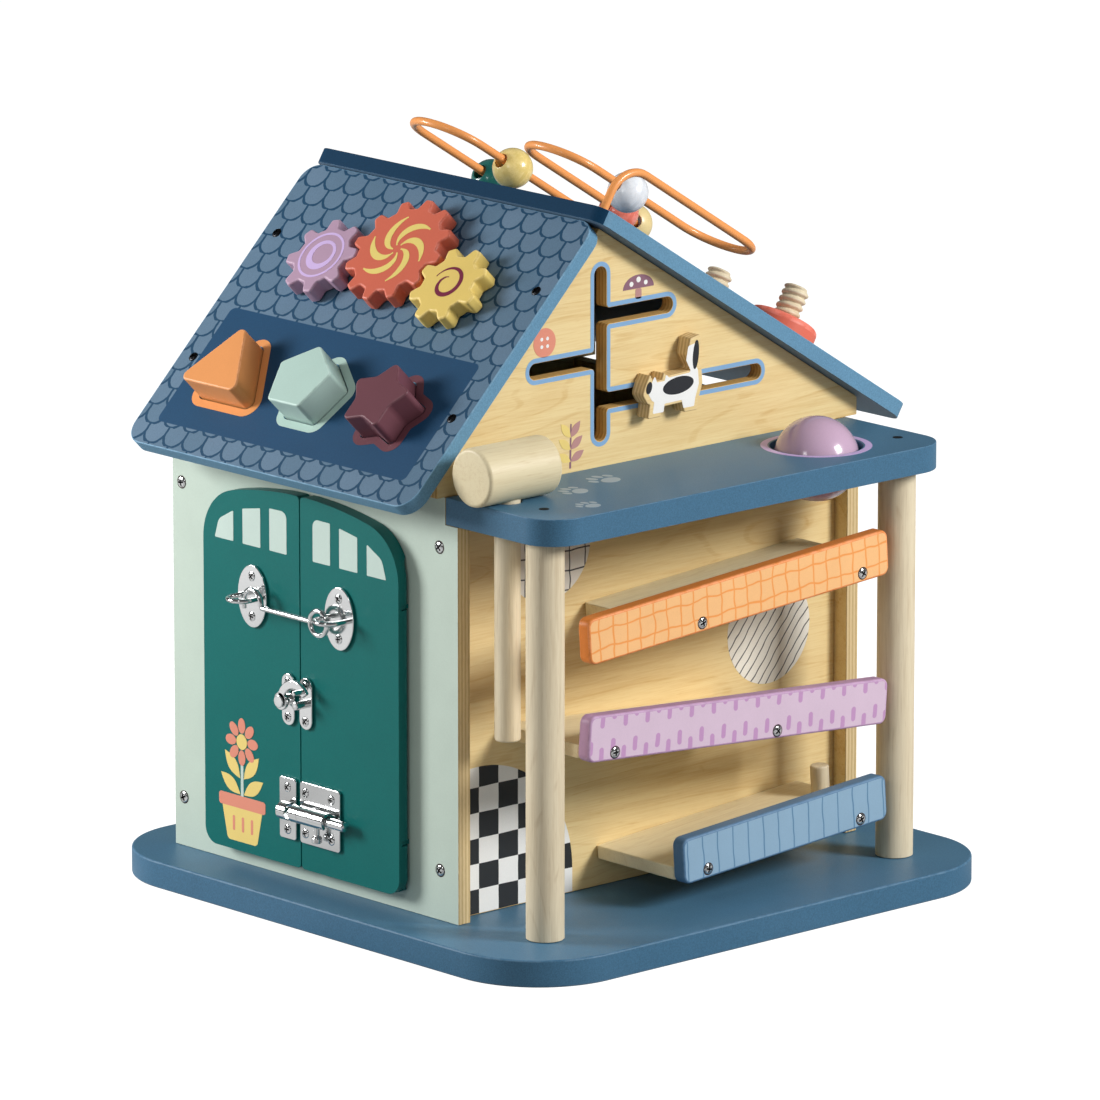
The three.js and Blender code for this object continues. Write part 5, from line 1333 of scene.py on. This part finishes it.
# %% A toadstool, a button and a sprig
TOADSTOOL_X, TOADSTOOL_Z = 148, 347.5
wall_print("toadstool_cap", arc(TOADSTOOL_X, TOADSTOOL_Z, 12, 8, 0, math.pi, 16), plum_print, "maroon")
wall_print("toadstool_stem", rectangle(TOADSTOOL_X - 2.4, TOADSTOOL_Z - 6.1, TOADSTOOL_X + 2.4,
                                       TOADSTOOL_Z - 0.1, 1.2), mauve_print, "maroon")
for i, (x, y, size) in enumerate(((-5.5, 3.0, 1.5), (0, 5.1, 1.7), (5.6, 2.8, 1.4))):
    wall_print(f"toadstool_dot_{i + 1}", oval(TOADSTOOL_X + x, TOADSTOOL_Z + y, size, count=18),
               white_print, "white", 1)
BUTTON_X, BUTTON_Z = 75.6, 326
wall_print("button_disc", oval(BUTTON_X, BUTTON_Z, 8.5), coral_print)
for i, (x, y) in enumerate(((-2.2, 2.2), (2.2, 2.2), (-2.2, -2.2), (2.2, -2.2))):
    wall_print(f"button_dot_{i + 1}", oval(BUTTON_X + x, BUTTON_Z + y, 1.1, count=16), white_print,
               "white", 1)
SPRIG_X, SPRIG_Z = 95.6, 250
# Each leaf of the sprig: its height up the stem and its lean in degrees
SPRIG = ((4, 62), (4, -62), (11, 52), (11, -52), (18, 40), (18, -40))
stem = [(SPRIG_X - 1, SPRIG_Z, 0.4), (SPRIG_X + 0.4, SPRIG_Z, 0.4),
        (SPRIG_X + 0.8, SPRIG_Z + 26, 0.4), (SPRIG_X - 0.2, SPRIG_Z + 26, 0.4)]
wall_print("sprig_stem", rounded(stem), plum_print, "maroon")
for i, (up, lean) in enumerate(SPRIG):
    finish, slot_name = ((butter_print, "yellow"), (mauve_print, "maroon"))[i % 2]
    wall_print(f"sprig_leaf_{i + 1}", leaf(SPRIG_X, SPRIG_Z + up, 11.5, 5, lean), finish, slot_name, 1)

# %% A striped disc and a squared disc on the wall behind the ball runs
def drawn_disc(name, x, y, radius, draw):
    """A disc of white with dark lines drawn across it."""
    place = FRONT_FACE @ shift(x, y, 0)
    finish = print_material(f"{name}_ink", place, "ebe6da", "3a3b3d", draw, 0.5, wander=3.5)
    printed(name, [oval(0, 0, radius, count=72)], place, finish, "house", "white")


def slanted_lines(tree, x, y):
    """Thin slanting lines, as of a pen."""
    return stripes(tree, plus(tree, times(tree, x, 0.77), times(tree, y, -0.64)), 5.4, 0.75)


def squares(tree, x, y):
    """Thin lines both ways, wide apart."""
    return calc(tree, "MAXIMUM", stripes(tree, x, 11.5, 0.9), stripes(tree, y, 11.5, 0.9))


drawn_disc("striped_disc", 251.8, 130.8, 32.8, slanted_lines)
drawn_disc("squared_disc", 78, 208, 33, squares)

# %% A checked arch on the same wall
ARCH_X, ARCH_Z, ARCH_RADIUS, ARCH_SWEEP, SQUARE = 25.0, 15.0, 72.0, 102.6, 15.0
check_frame = FRONT_FACE @ shift(ARCH_X, 0, 0)


def checks(tree, x, y):
    """Squares of two colours in turn."""
    column = calc(tree, "FLOOR", calc(tree, "DIVIDE", x, SQUARE))
    line = calc(tree, "FLOOR", calc(tree, "DIVIDE", y, SQUARE))
    return calc(tree, "FLOORED_MODULO", plus(tree, column, line), 2)


check_ink = print_material("checked_ink", check_frame, "efeeea", "2a2c2e", checks, 0.5, wander=0.6)
crown = arc(0, ARCH_Z, ARCH_RADIUS, ARCH_RADIUS, 0, math.radians(ARCH_SWEEP), 30)
edge_x = inner_wall + 0.5 - ARCH_X
left_z = ARCH_Z + math.sqrt(ARCH_RADIUS ** 2 - edge_x ** 2)
checked = [(edge_x, 0.8), (ARCH_RADIUS, 0.8)] + [p for p in crown if p[0] > edge_x] + [(edge_x, left_z)]
printed("checked_arch", [checked], check_frame, check_ink, "house", "white")
print("prints made on the gable and behind the ball runs")

# %% [markdown]
# ## The doors
# Two thick leaves make one flat arch. The paint is a deep satin green that goes paler along the
# soft front edge, partly as wear and partly as a painted highlight. The leaf hangs on eyes let into its
# back, and its back edge is rounded so that it can turn right next to the wall.

# %% Measures and tools for the leaves
LEAF_FACE, LEAF_BACK = -9.3, -0.6
LEAF_THICKNESS = LEAF_BACK - LEAF_FACE
HINGE_INSET = 4.0
HINGE_HEIGHTS = (40.0, ARCH_TOP - 52.4)
HINGE_PIN_TOP, PIN_HOLE_RADIUS = 186.0, 1.5
EYE_RADIUS, EYE_THICKNESS, EYE_NOTCH = 3.5, 2.5, (10.3, 3.1, 8)
FRONT_CORNER, SEAM_CORNER = 10, 2.5
DOOR_FACE = HOUSE @ shift(LEAF_FACE, 0, 0) @ DOOR_SIDE


def cut_with(piece, tool):
    """Takes a tool's shape out of a piece and removes the tool."""
    apply_modifier(piece, "BOOLEAN", object=tool, operation="DIFFERENCE", solver="EXACT")
    bpy.data.objects.remove(tool)


def select_edges(piece, wanted):
    """Opens a piece for editing with only those edges selected whose two ends are wanted."""
    pick(piece)
    bpy.ops.object.mode_set(mode="EDIT")
    bpy.ops.mesh.select_mode(type="EDGE")
    bpy.ops.mesh.select_all(action="DESELECT")
    bpy.ops.object.mode_set(mode="OBJECT")
    for edge in piece.data.edges:
        edge.select = all(wanted(piece.data.vertices[i].co) for i in edge.vertices)
    bpy.ops.object.mode_set(mode="EDIT")


# %% One leaf
def door_leaf(name, right):
    """One leaf: half the arch, eased in front, rounded along its hinge and notched for the eyes."""
    side = 1 if right else -1
    outer = door_start if right else door_end
    inner = SEAM_Y - side * SEAM_GAP / 2
    hinge_y = outer + side * HINGE_INSET
    whole = arch(door_start, door_end, LEAF_BOTTOM, 0, FRONT_CORNER)
    ring = [(y, z) for y, z in whole if side * (inner - y) > SEAM_CORNER]
    y, r = inner - side * SEAM_CORNER, SEAM_CORNER
    seam = arc(y, LEAF_BOTTOM + r, side * r, r, -math.pi / 2, 0, 6)
    seam += arc(y, ARCH_TOP - 2.7, side * r, r, 0, math.pi / 2, 6)
    if right:
        corner = ring.index(max((p for p in ring if p[1] < 20), key=lambda p: p[0]))
        loop = ring[:corner + 1] + seam + ring[corner + 1:]
    else:
        top = ring.index(min((p for p in ring if p[1] > 200), key=lambda p: p[0]))
        loop = ring[:top + 1] + seam[::-1] + ring[top + 1:]
    leaf_piece = slab(name, [loop], LEAF_THICKNESS)
    select_edges(leaf_piece, lambda end: end.z > LEAF_THICKNESS - 0.01 and abs(end.x - outer) < 3)
    bpy.ops.mesh.bevel(offset=HINGE_INSET, segments=6, affect="EDGES")
    bpy.ops.object.mode_set(mode="OBJECT")
    back = LEAF_THICKNESS - HINGE_INSET
    bpy.ops.mesh.primitive_cylinder_add(radius=PIN_HOLE_RADIUS, depth=HINGE_PIN_TOP, vertices=24,
                                        location=(hinge_y, HINGE_PIN_TOP / 2 + 0.3, back),
                                        rotation=(math.pi / 2, 0, 0))
    cut_with(leaf_piece, bpy.context.object)
    for height in HINGE_HEIGHTS:
        middle = height + EYE_THICKNESS / 2
        bpy.ops.mesh.primitive_cylinder_add(radius=EYE_RADIUS, depth=EYE_NOTCH[1], vertices=32,
                                            location=(hinge_y, middle, back),
                                            rotation=(math.pi / 2, 0, 0))
        cut_with(leaf_piece, bpy.context.object)
        bpy.ops.mesh.primitive_cube_add(size=1, location=(hinge_y - side * 2.85, middle, back + 1.7))
        bpy.context.object.scale = EYE_NOTCH
        bpy.ops.object.transform_apply(location=False)
        cut_with(leaf_piece, bpy.context.object)
    ease(leaf_piece, 0.5, segments=2)
    return leaf_piece


# %% Both leaves
for name, right in (("right", True), ("left", False)):
    leaf_piece = door_leaf(f"{name}_leaf", right)
    dress(leaf_piece, teal_paint)
    settle(leaf_piece, DOOR_FACE)
    keep(leaf_piece, f"door_{name}", "teal_board", f"door_{name}")
print("leaves made, seam at", SEAM_Y)

# %% Panes printed on the leaves
pane_paint = paint("pane_paint", "c3d5cc", 0.4)


def door_print(name, loop, finish, slot_name, layer=0, body="door_left"):
    """A thin print on the face of a leaf."""
    depth = PAINT * (1 + 0.5 * layer)
    board(name, [loop], depth, DOOR_FACE, (finish,), body, slot_name, eased=0, base=-depth)


PANE_BOTTOM = 194.2
# Corners of each pane: how far out from the seam, how high and how round
PANES = (
    ((11.4, PANE_BOTTOM, 0.6), (26.4, PANE_BOTTOM, 0.6), (26.4, 219.0, 0.6), (11.4, 219.2, 4.5)),
    ((34.4, PANE_BOTTOM, 0.6), (50, PANE_BOTTOM, 0.6), (50, 214.8, 0.6), (34.4, 217.6, 0.6)),
    ((58.2, PANE_BOTTOM, 0.6), (74.6, PANE_BOTTOM, 0.6), (71, 205.5, 7), (58.2, 212.4, 0.6)))
for name, side in (("right", -1), ("left", 1)):
    for i, corners in enumerate(PANES):
        placed = [(SEAM_Y + side * out, z, r) for out, z, r in corners]
        loop = rounded(placed if side > 0 else placed[::-1], steps=6)
        door_print(f"{name}_pane_{i + 1}", loop, pane_paint, "white", body=f"door_{name}")

# %% A potted flower
POT_Y, FLOWER_Z, PETALS, PETAL_REACH = 177.0, 76, 8, 9.6
door_print("pot_body", rounded([(POT_Y - 13, 16, 3), (POT_Y + 13, 16, 3), (POT_Y + 18, 38, 1.5),
                                (POT_Y - 18, 38, 1.5)]), butter_print, "yellow")
door_print("pot_rim", rectangle(POT_Y - 20.5, 36, POT_Y + 20.5, 43.5, 2), coral_print, "coral", 1)
door_print("flower_stem", rectangle(POT_Y - 1.2, 43, POT_Y + 1.2, 70, 0.5), pane_paint, "white")
for i, (z, lean) in enumerate(((44.5, 58), (44.5, -58), (54, 42), (54, -42))):
    door_print(f"flower_leaf_{i + 1}", leaf(POT_Y - math.copysign(1.6, lean), z, 20, 8, lean),
               butter_print, "yellow", 1)
for i in range(PETALS):
    lean = 360 / PETALS * i
    y = POT_Y - PETAL_REACH * math.sin(math.radians(lean))
    z = FLOWER_Z + PETAL_REACH * math.cos(math.radians(lean))
    door_print(f"flower_petal_{i + 1}", oval(y, z, 3.1, 4.6, lean), coral_print, "coral", 2)
door_print("flower_middle", oval(POT_Y, FLOWER_Z, 4.6), butter_print, "yellow", 3)
for i in range(3):
    y = POT_Y - 9.5 + 8 * i
    door_print(f"pot_dash_{i + 1}", rectangle(y, 22, y + 2, 31, 0.9), coral_print, "coral", 1)

# %% [markdown]
# ## Metal fittings
# The three latches are stamped and bent from steel and plated. Plating is smooth but not
# perfect: it has hairline scratches in one direction and a slight cloudiness, so the bright
# and dark bands that the glowing floor paints into its reflections break up a little in it.

# %% Plated steel
metal_marks, marks_in, marks_out = new_group(
    "metal_marks", [("Colour", "colour", None), ("Roughness", "float", 0.08)],
    [("Colour", "colour"), ("Roughness", "float"), ("Height", "float")])
tree = metal_marks
place = node(tree, "TexCoord").outputs["Object"]
hair = stretched(tree, place, (900, 90, 2600), 3, 0.6)
haze = noise(tree, place, 60)
give(tree, marks_out,
     Colour=tint(tree, marks_in.outputs["Colour"], 1.0, plus(tree, 0.95, times(tree, haze, 0.1))),
     Roughness=plus(tree, marks_in.outputs["Roughness"], swing(tree, haze, 0.45, 0.1),
                    times(tree, hair, 0.06), clamp=True),
     Height=hair)


def metal(name, code, roughness):
    """Bare or plated metal."""
    material = new_material(name, metal_marks, bump=0.06, step=0.00005, Colour=colour_of(code),
                            Roughness=roughness)[0]
    tune(material, "Metallic", 1.0)
    return material


chrome = metal("chrome_plate", "e2e3e3", 0.1)
dark_steel = metal("black_steel", "2a2b2e", 0.3)
zinc = metal("zinc_plate", "6f7478", 0.42)

# %% A cross-head screw, modelled once
SCREW = 6.8
# Near-black metal for the faces sunk in a screw's cross: painted shade in the recess.
recess_shade = metal("screw_recess_shade", "1a1a1c", 0.5)


def cross_screw(name, finish):
    """A low round head with a cross pressed into it, its flat face on Z = 0."""
    radius, dome = SCREW / 2, 1.1
    profile = [(0, -0.4), (radius, -0.4)]
    profile += arc(0, 0, radius, dome, math.radians(10), math.radians(90), 8)
    head = turned(name, profile, steps=32)
    for lean in (20, 110):
        bpy.ops.mesh.primitive_cube_add(size=1, location=(0, 0, dome),
                                        rotation=(0, 0, math.radians(lean)))
        bpy.context.object.scale = (1.1, 4.5, 1.9)
        bpy.ops.object.transform_apply(location=False)
        cut_with(head, bpy.context.object)
    ease(head, 0.12, segments=2)
    for coat in (finish, recess_shade):
        head.data.materials.append(coat)
    for face in head.data.polygons:
        out = Vector(face.center.xy).length / radius
        sunk = out ** 2 + (max(0.0, face.center.z) / dome) ** 2 < 0.8
        face.material_index = int(sunk and face.center.z > 0)
    return head


# %% Drive a screw
screw_count = 0
rim_shadow = paint("rim_shadow", "3a2a26", 0.7)


def drive(master, place, body, slot_name, size=1.0, rim=0.0):
    """A copy of the screw, with its own mesh, driven in at a place, with a dark ring of painted shadow
    round it in its countersink.
    """
    global screw_count
    screw_count += 1
    copy = master.copy()
    copy.data = master.data.copy()
    copy.name = f"screw_{screw_count}"
    bpy.context.scene.collection.objects.link(copy)
    settle(copy, place @ turn(37 * screw_count, "Z") @ Matrix.Diagonal((size, size, size, 1)))
    keep(copy, body, slot_name)
    if rim:
        printed(f"screw_rim_{screw_count}", [oval(0, 0, SCREW / 2 * size + rim, count=32)], place,
                rim_shadow, body, "rubber")


# %% Screws in the walls, roofs and rails
bright_screw = cross_screw("bright_screw", chrome)
black_screw = cross_screw("black_screw", dark_steel)
OUTWARD = turn(-90, "Y")
SIDE_SCREWS = [(y, z) for y in (15.4, 240.0) for z in (29.5, 218.2)]
LEFT_SCREWS = [(s, y) for s in (62, 153) for y in (15.4, 239.8)]
RIGHT_SCREWS = [(s, y) for s in (90, 225) for y in (10, 236)]
RAIL_SCREWS = ((128, 167.8), (254.4, 176.6), (60.6, 103.6), (187.2, 94.6), (133.2, 22.4),
               (254.2, 30.4))
for y, z in SIDE_SCREWS:
    drive(bright_screw, HOUSE @ shift(0, y, z) @ OUTWARD, "house", "chrome", rim=0.5)
    drive(bright_screw, HOUSE @ shift(HOUSE_WIDTH, y, z) @ turn(90, "Y"), "house", "chrome",
          rim=0.5)
for roof, places in ((LEFT_ROOF, LEFT_SCREWS), (RIGHT_ROOF, RIGHT_SCREWS)):
    for s, y in places:
        drive(black_screw, roof @ shift(s, y, 0), "house", "zinc", 0.9)
for x, z in RAIL_SCREWS:
    drive(bright_screw, HOUSE @ shift(x, RAIL_BACK - RAIL_THICKNESS, z) @ turn(90, "X"), "house",
          "chrome", 0.95, rim=0.5)

# %% Helpers for the latches
PLATE = 1.6
PLATE_BACK = LEAF_FACE - JOINT
PLATE_FACE = HOUSE @ shift(PLATE_BACK, 0, 0) @ DOOR_SIDE


def face_plate(name, loops, body, screws, *nodes, thickness=PLATE):
    """A stamped plate on a leaf, with its screws."""
    board(name, loops, thickness, PLATE_FACE, (chrome,), body, "chrome", *nodes, eased=0.45,
          base=-thickness)
    for y, z in screws:
        drive(bright_screw, HOUSE @ shift(PLATE_BACK - thickness, y, z) @ OUTWARD, body, "chrome", 0.86)


def wire_piece(name, path, diameter, place, body, *nodes):
    """A bent wire of plated steel."""
    piece = wire_mesh(name, path, diameter)
    piece.data.materials.append(chrome)
    settle(piece, place)
    keep(piece, body, "chrome", *nodes)


# %% The hook's two plates with their staples
HOOK_Z = 165.0
HOOK_PLATE_Y, CATCH_PLATE_Y = SEAM_Y - 35.7, SEAM_Y + 40.1
HOOK_PLATE_SIZE, HOOK_SCREWS = (12.5, 18.5), 11.8
STAPLE, STAPLE_HALF, STAPLE_REACH, STAPLE_ROOT = 3.0, 8.0, 18.5, 0.8
for name, y, body in (("hook_plate", HOOK_PLATE_Y, "door_right"),
                      ("hook_catch_plate", CATCH_PLATE_Y, "door_left")):
    face_plate(f"{name}_oval", [oval(y, HOOK_Z, *HOOK_PLATE_SIZE, count=64)], body,
               ((y, HOOK_Z + HOOK_SCREWS), (y, HOOK_Z - HOOK_SCREWS)), name)
    legs = STAPLE_REACH - STAPLE / 2 - STAPLE_HALF
    path = [Vector((PLATE_BACK - STAPLE_ROOT, y - STAPLE_HALF, HOOK_Z))]
    heading = run(path, -AXIS_X, legs - STAPLE_ROOT)
    heading = bend(path, heading, -AXIS_Z, STAPLE_HALF, math.pi, steps=20)
    run(path, heading, legs - STAPLE_ROOT)
    wire_piece(f"{name}_staple", path, STAPLE, HOUSE, body)

# %% The hook
HOOK_WIRE, HOOK_RING, HOOK_ARCH, HOOK_FILLET = 3.2, 7.2, 7.5, 2.0
hang = HOOK_RING - HOOK_WIRE / 2 - STAPLE / 2 - JOINT
hang_angle = math.radians(-58)
hook_y = HOOK_PLATE_Y + STAPLE_HALF + hang * math.cos(hang_angle)
hook_z = HOOK_Z + hang * math.sin(hang_angle)
hook_frame = HOUSE @ shift(PLATE_BACK - 8, hook_y, hook_z)
path = [Vector((0, HOOK_RING, 0))]
bend(path, AXIS_Z, AXIS_X, HOOK_RING, 2 * math.pi * 0.999, steps=40)
wire_piece("hook_eye", path, HOOK_WIRE, hook_frame, "hook", "hook")
rod_start = HOOK_RING - 0.6
path = [Vector((0, rod_start, 0))]
arch_start = CATCH_PLATE_Y - STAPLE_HALF - HOOK_ARCH - HOOK_FILLET - hook_y
heading = run(path, AXIS_Y, arch_start - rod_start)
heading = bend(path, heading, AXIS_X, HOOK_FILLET, math.pi / 2, steps=8)
heading = bend(path, heading, -AXIS_X, HOOK_ARCH, math.pi, steps=20)
run(path, heading, 4.5)
wire_piece("hook_rod", path, HOOK_WIRE, hook_frame, "hook")

# %% The swivel latch's plates and pins
SWIVEL_Z = 109.7
SWIVEL_WIDTH, SWIVEL_HEIGHT = 10.8, 30.6
SWIVEL_Y, SWIVEL_STUD_Y = SEAM_Y + 9, SEAM_Y - 6.3
SWIVEL_STAND, SWIVEL_THICKNESS, SWIVEL_SCREWS = 5.2, 2.4, 10.4


def front_pin(name, diameter, y, z, start, end, body, eased=0.4):
    """A round pin that stands out from a plate."""
    turned_piece(name, tube(0, diameter / 2, start, end), HOUSE @ shift(PLATE_BACK, y, z) @ OUTWARD,
                 chrome, body, "chrome", eased=eased, steps=36)


for name, y, body, node_name in (("swivel_back", SWIVEL_Y, "door_left", "swivel_plate"),
                                 ("swivel_stud_back", SWIVEL_STUD_Y, "door_right", "swivel_stud_plate")):
    half, tall = SWIVEL_WIDTH / 2, SWIVEL_HEIGHT / 2
    face_plate(name, [rectangle(y - half, SWIVEL_Z - tall, y + half, SWIVEL_Z + tall, half - 0.1)],
               body, ((y, SWIVEL_Z + SWIVEL_SCREWS), (y, SWIVEL_Z - SWIVEL_SCREWS)), node_name)
pin_end = SWIVEL_STAND + SWIVEL_THICKNESS + 0.5
front_pin("swivel_collar", 6.6, SWIVEL_Y, SWIVEL_Z, 0.8, SWIVEL_STAND - 0.5, "door_left")
front_pin("swivel_pin", 4, SWIVEL_Y, SWIVEL_Z, 1, pin_end, "door_left", eased=0)
front_pin("swivel_cap", 7.6, SWIVEL_Y, SWIVEL_Z, pin_end, pin_end + 1.1, "door_left", eased=0.6)
front_pin("swivel_stud_post", 5, SWIVEL_STUD_Y, SWIVEL_Z, 0.8, 10, "door_right", eased=0.8)

# %% Its crescent
CRESCENT_OUT, CRESCENT_IN = 14, 9
FINGER, FINGER_LENGTH, FINGER_INSET = 3, 8, 3
arc_y = -(CRESCENT_OUT + CRESCENT_IN) / 2
tip = math.radians(146)
crescent = arc(arc_y, 0, CRESCENT_OUT, CRESCENT_OUT, 0, tip, 30)
crescent += arc(arc_y, 0, CRESCENT_IN, CRESCENT_IN, tip, 0, 24)
swivel_face = PLATE_BACK - SWIVEL_STAND - SWIVEL_THICKNESS
swivel_frame = HOUSE @ shift(swivel_face, SWIVEL_Y, SWIVEL_Z) @ DOOR_SIDE
board("swivel_crescent", [crescent], SWIVEL_THICKNESS, swivel_frame, (chrome,), "swivel_hook",
      "chrome", "swivel_hook", eased=0.6)
board("swivel_eye", [oval(0, 0, 5.4, count=40), oval(0, 0, 2.3, count=28)], SWIVEL_THICKNESS,
      swivel_frame, (chrome,), "swivel_hook", "chrome", eased=0.6)
finger_reach = -arc_y
finger_angle = tip - math.asin(FINGER_INSET / finger_reach)
finger_y = SWIVEL_Y + arc_y + finger_reach * math.cos(finger_angle)
finger_z = SWIVEL_Z + finger_reach * math.sin(finger_angle)
turned_piece("swivel_finger", tube(0, FINGER / 2, 0, FINGER_LENGTH),
             HOUSE @ shift(PLATE_BACK - SWIVEL_STAND - 1, finger_y, finger_z) @ OUTWARD,
             chrome, "swivel_hook", "chrome", eased=0.6, steps=28)

# %% The barrel bolt's plates
BOLT_Z, BOLT_STAND = 45.0, 6.0
BOLT_ROD, BARREL = 6.0, 10.6
BOLT_PLATE, KEEPER_PLATE, PLATE_HALF, PLATE_CORNER = 34.6, 14.5, 18.25, 2
FAR_BARREL, KEEPER_STRAP, STRAP_PLAY = 7.5, 7, 1.4
BOLT_SCREWS = ((96.6, 57), (119.2, 57), (96.6, 33), (119.2, 33))
KEEPER_SCREWS = ((134.8, 57.5), (134.8, 32.5))
plate_end = SEAM_Y - SEAM_GAP / 2 - 0.6
plate_start = plate_end - BOLT_PLATE
keeper_start = SEAM_Y + SEAM_GAP / 2 + 2
rod_end = keeper_start + KEEPER_STRAP - 0.5
for name, start, width, body, screws, node_name in (
        ("bolt_back", plate_start, BOLT_PLATE, "door_right", BOLT_SCREWS, "bolt_plate"),
        ("keeper_back", keeper_start, KEEPER_PLATE, "door_left", KEEPER_SCREWS, "bolt_keeper")):
    face_plate(name, [rectangle(start, BOLT_Z - PLATE_HALF, start + width, BOLT_Z + PLATE_HALF,
                                PLATE_CORNER)], body, screws, node_name)


def barrel(name, y0, y1, play, gap_angle, body):
    """A strap bent round the rod: a tube with a slit, standing on the plate."""
    outer, inner = BARREL / 2, BOLT_ROD / 2 + play
    if gap_angle:
        first, last = math.radians(-90 + gap_angle), math.radians(270 - gap_angle)
        loops = [arc(0, 0, outer, outer, first, last, 48) + arc(0, 0, inner, inner, last, first, 48)]
    else:
        loops = [oval(0, 0, outer, count=56), oval(0, 0, inner, count=48)]
    along = HOUSE @ shift(PLATE_BACK - BOLT_STAND, y1, BOLT_Z) @ turn(90, "X")
    board(name, loops, y1 - y0, along, (chrome,), body, "chrome", eased=0.35)


# %% The bolt's barrels, rod and handle
far_start = plate_end - FAR_BARREL
barrel("bolt_barrel_far", far_start, plate_end, JOINT, 0, "door_right")
barrel("bolt_barrel", plate_start + 5, far_start, JOINT, 32, "door_right")
barrel("keeper_strap", keeper_start, keeper_start + KEEPER_STRAP, STRAP_PLAY, 0, "door_left")
BOLT_LENGTH, HANDLE_FROM_END, HANDLE_FOOT = 55, 30, 14
radius = BOLT_ROD / 2
rod_tip = [(0, 0), (radius - 1.5, 0), (radius - 0.4, 0.45), (radius, 1.5)]
rod_profile = rod_tip + [(r, BOLT_LENGTH - z) for r, z in rod_tip[::-1]]
handle_profile = [(0, 0), (3, 0), (3, 3), (1.65, 4.6), (1.65, 12.5), (0, 12.5)]
rod_x = PLATE_BACK - BOLT_STAND
turned_piece("bolt_bar", rod_profile, HOUSE @ shift(rod_x, rod_end, BOLT_Z) @ turn(90, "X"), chrome,
             "bolt_rod", "chrome", "bolt_rod", steps=40)
turned_piece("bolt_handle", handle_profile,
             HOUSE @ shift(rod_x, rod_end - HANDLE_FROM_END, BOLT_Z - HANDLE_FOOT), chrome,
             "bolt_rod", "chrome", eased=0.5, steps=32)
for master in (bright_screw, black_screw):
    bpy.data.objects.remove(master)
print("screws driven", screw_count)

# %% [markdown]
# ## Studio
# The house stands on plain white paper. A large soft lamp on the right, a weaker one behind on
# the left, a small one for bright edges and a pale sky give broad, gentle light.

# %% The paper floor
bpy.ops.mesh.primitive_plane_add(size=12)
floor = bpy.context.object
floor.name = "studio_floor"
paper = bpy.data.materials.new("studio_paper")
paper.use_nodes = True
tree = paper.node_tree
tune(paper, "Base Color", (0.28, 0.28, 0.28, 1))
tune(paper, "Roughness", 0.95)
tune(paper, "Specular IOR Level", 0.0)
path = node(tree, "LightPath").outputs
# The paper glows evenly white to the camera, and in soft patches seen only in reflections: painted
# reflections that lay bright and dark bands on the metal.
reflection_patches = noise(tree, node(tree, "TexCoord").outputs["Object"], 4.6)
mirrored = times(tree, soft_step(tree, reflection_patches, 0.38, 0.62), path["Is Glossy Ray"])
strength = plus(tree, times(tree, mirrored, 0.45), times(tree, path["Is Camera Ray"], 0.93))
glow = node(tree, "Emission", (1, 1, 1, 1), strength)
both = node(tree, "AddShader", tree.nodes["Principled BSDF"].outputs[0], glow.outputs[0])
tree.links.new(both.outputs[0], tree.nodes["Material Output"].inputs["Surface"])
floor.data.materials.append(paper)


# %% Lamps and sky
def soft_lamp(name, energy, size, place, target):
    """A square lamp at a place, turned towards a target."""
    bpy.ops.object.light_add(type="AREA", location=place)
    lamp = bpy.context.object
    lamp.name = name
    lamp.data.energy = energy
    lamp.data.size = size
    lamp.rotation_euler = (Vector(target) - Vector(place)).to_track_quat("-Z", "Y").to_euler()


soft_lamp("key_lamp", energy=62, size=0.7, place=(1.1, -2.1, 1.35), target=(0, 0, 0.2))
soft_lamp("side_lamp", energy=19, size=0.5, place=(-1.0, 0.95, 0.6), target=(-0.1, 0.1, 0.2))
soft_lamp("edge_lamp", energy=2, size=0.25, place=(-1.5, -0.5, 0.95), target=(-0.15, 0, 0.15))
sky = bpy.data.worlds.new("pale_sky")
sky.use_nodes = True
tree = sky.node_tree
mirrored = node(tree, "LightPath").outputs["Is Glossy Ray"]
strength = minus(tree, 0.3, times(tree, mirrored, 0.2))
tree.nodes["Background"].inputs["Color"].default_value = (1, 1, 1, 1)
tree.links.new(strength, tree.nodes["Background"].inputs["Strength"])
bpy.context.scene.world = sky
bpy.context.scene.view_settings.view_transform = "Standard"

# %% [markdown]
# ## Camera
# The portrait is taken from the front left and a little above, from far away with a long
# lens, so that upright edges stay upright and near and far parts have almost the same scale.

# %% Point the camera
VIEW_DOWN, VIEW_TURN = math.radians(13.198), math.radians(42.332)
CAMERA_PLACE = (-3756.31, -4200.72, 1540.70)
bpy.ops.object.camera_add(location=HOUSE @ Vector(CAMERA_PLACE),
                          rotation=(math.pi / 2 - VIEW_DOWN, 0, -VIEW_TURN))
camera = bpy.context.object
camera.name = "portrait_camera"
camera.data.sensor_width = 36
camera.data.lens = 336.35
camera.data.clip_end = 50
bpy.context.scene.camera = camera
print("camera stands", round((camera.location - house_corner).length, 2), "m away")

# %% [markdown]
# ## The hidden steel
# The gear axles and the hinge pins are the imported solids themselves in dull zinc. So are the
# hinge eyes, in the paint of the leaves.

# %% Finish the steel solids and close the scene
for name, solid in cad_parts.items():
    if name.startswith(("gear_axle", "hinge_pin", "hinge_bracket")):
        solid.data.materials.clear()
        solid.data.materials.append(teal_paint if name.startswith("hinge_bracket") else zinc)
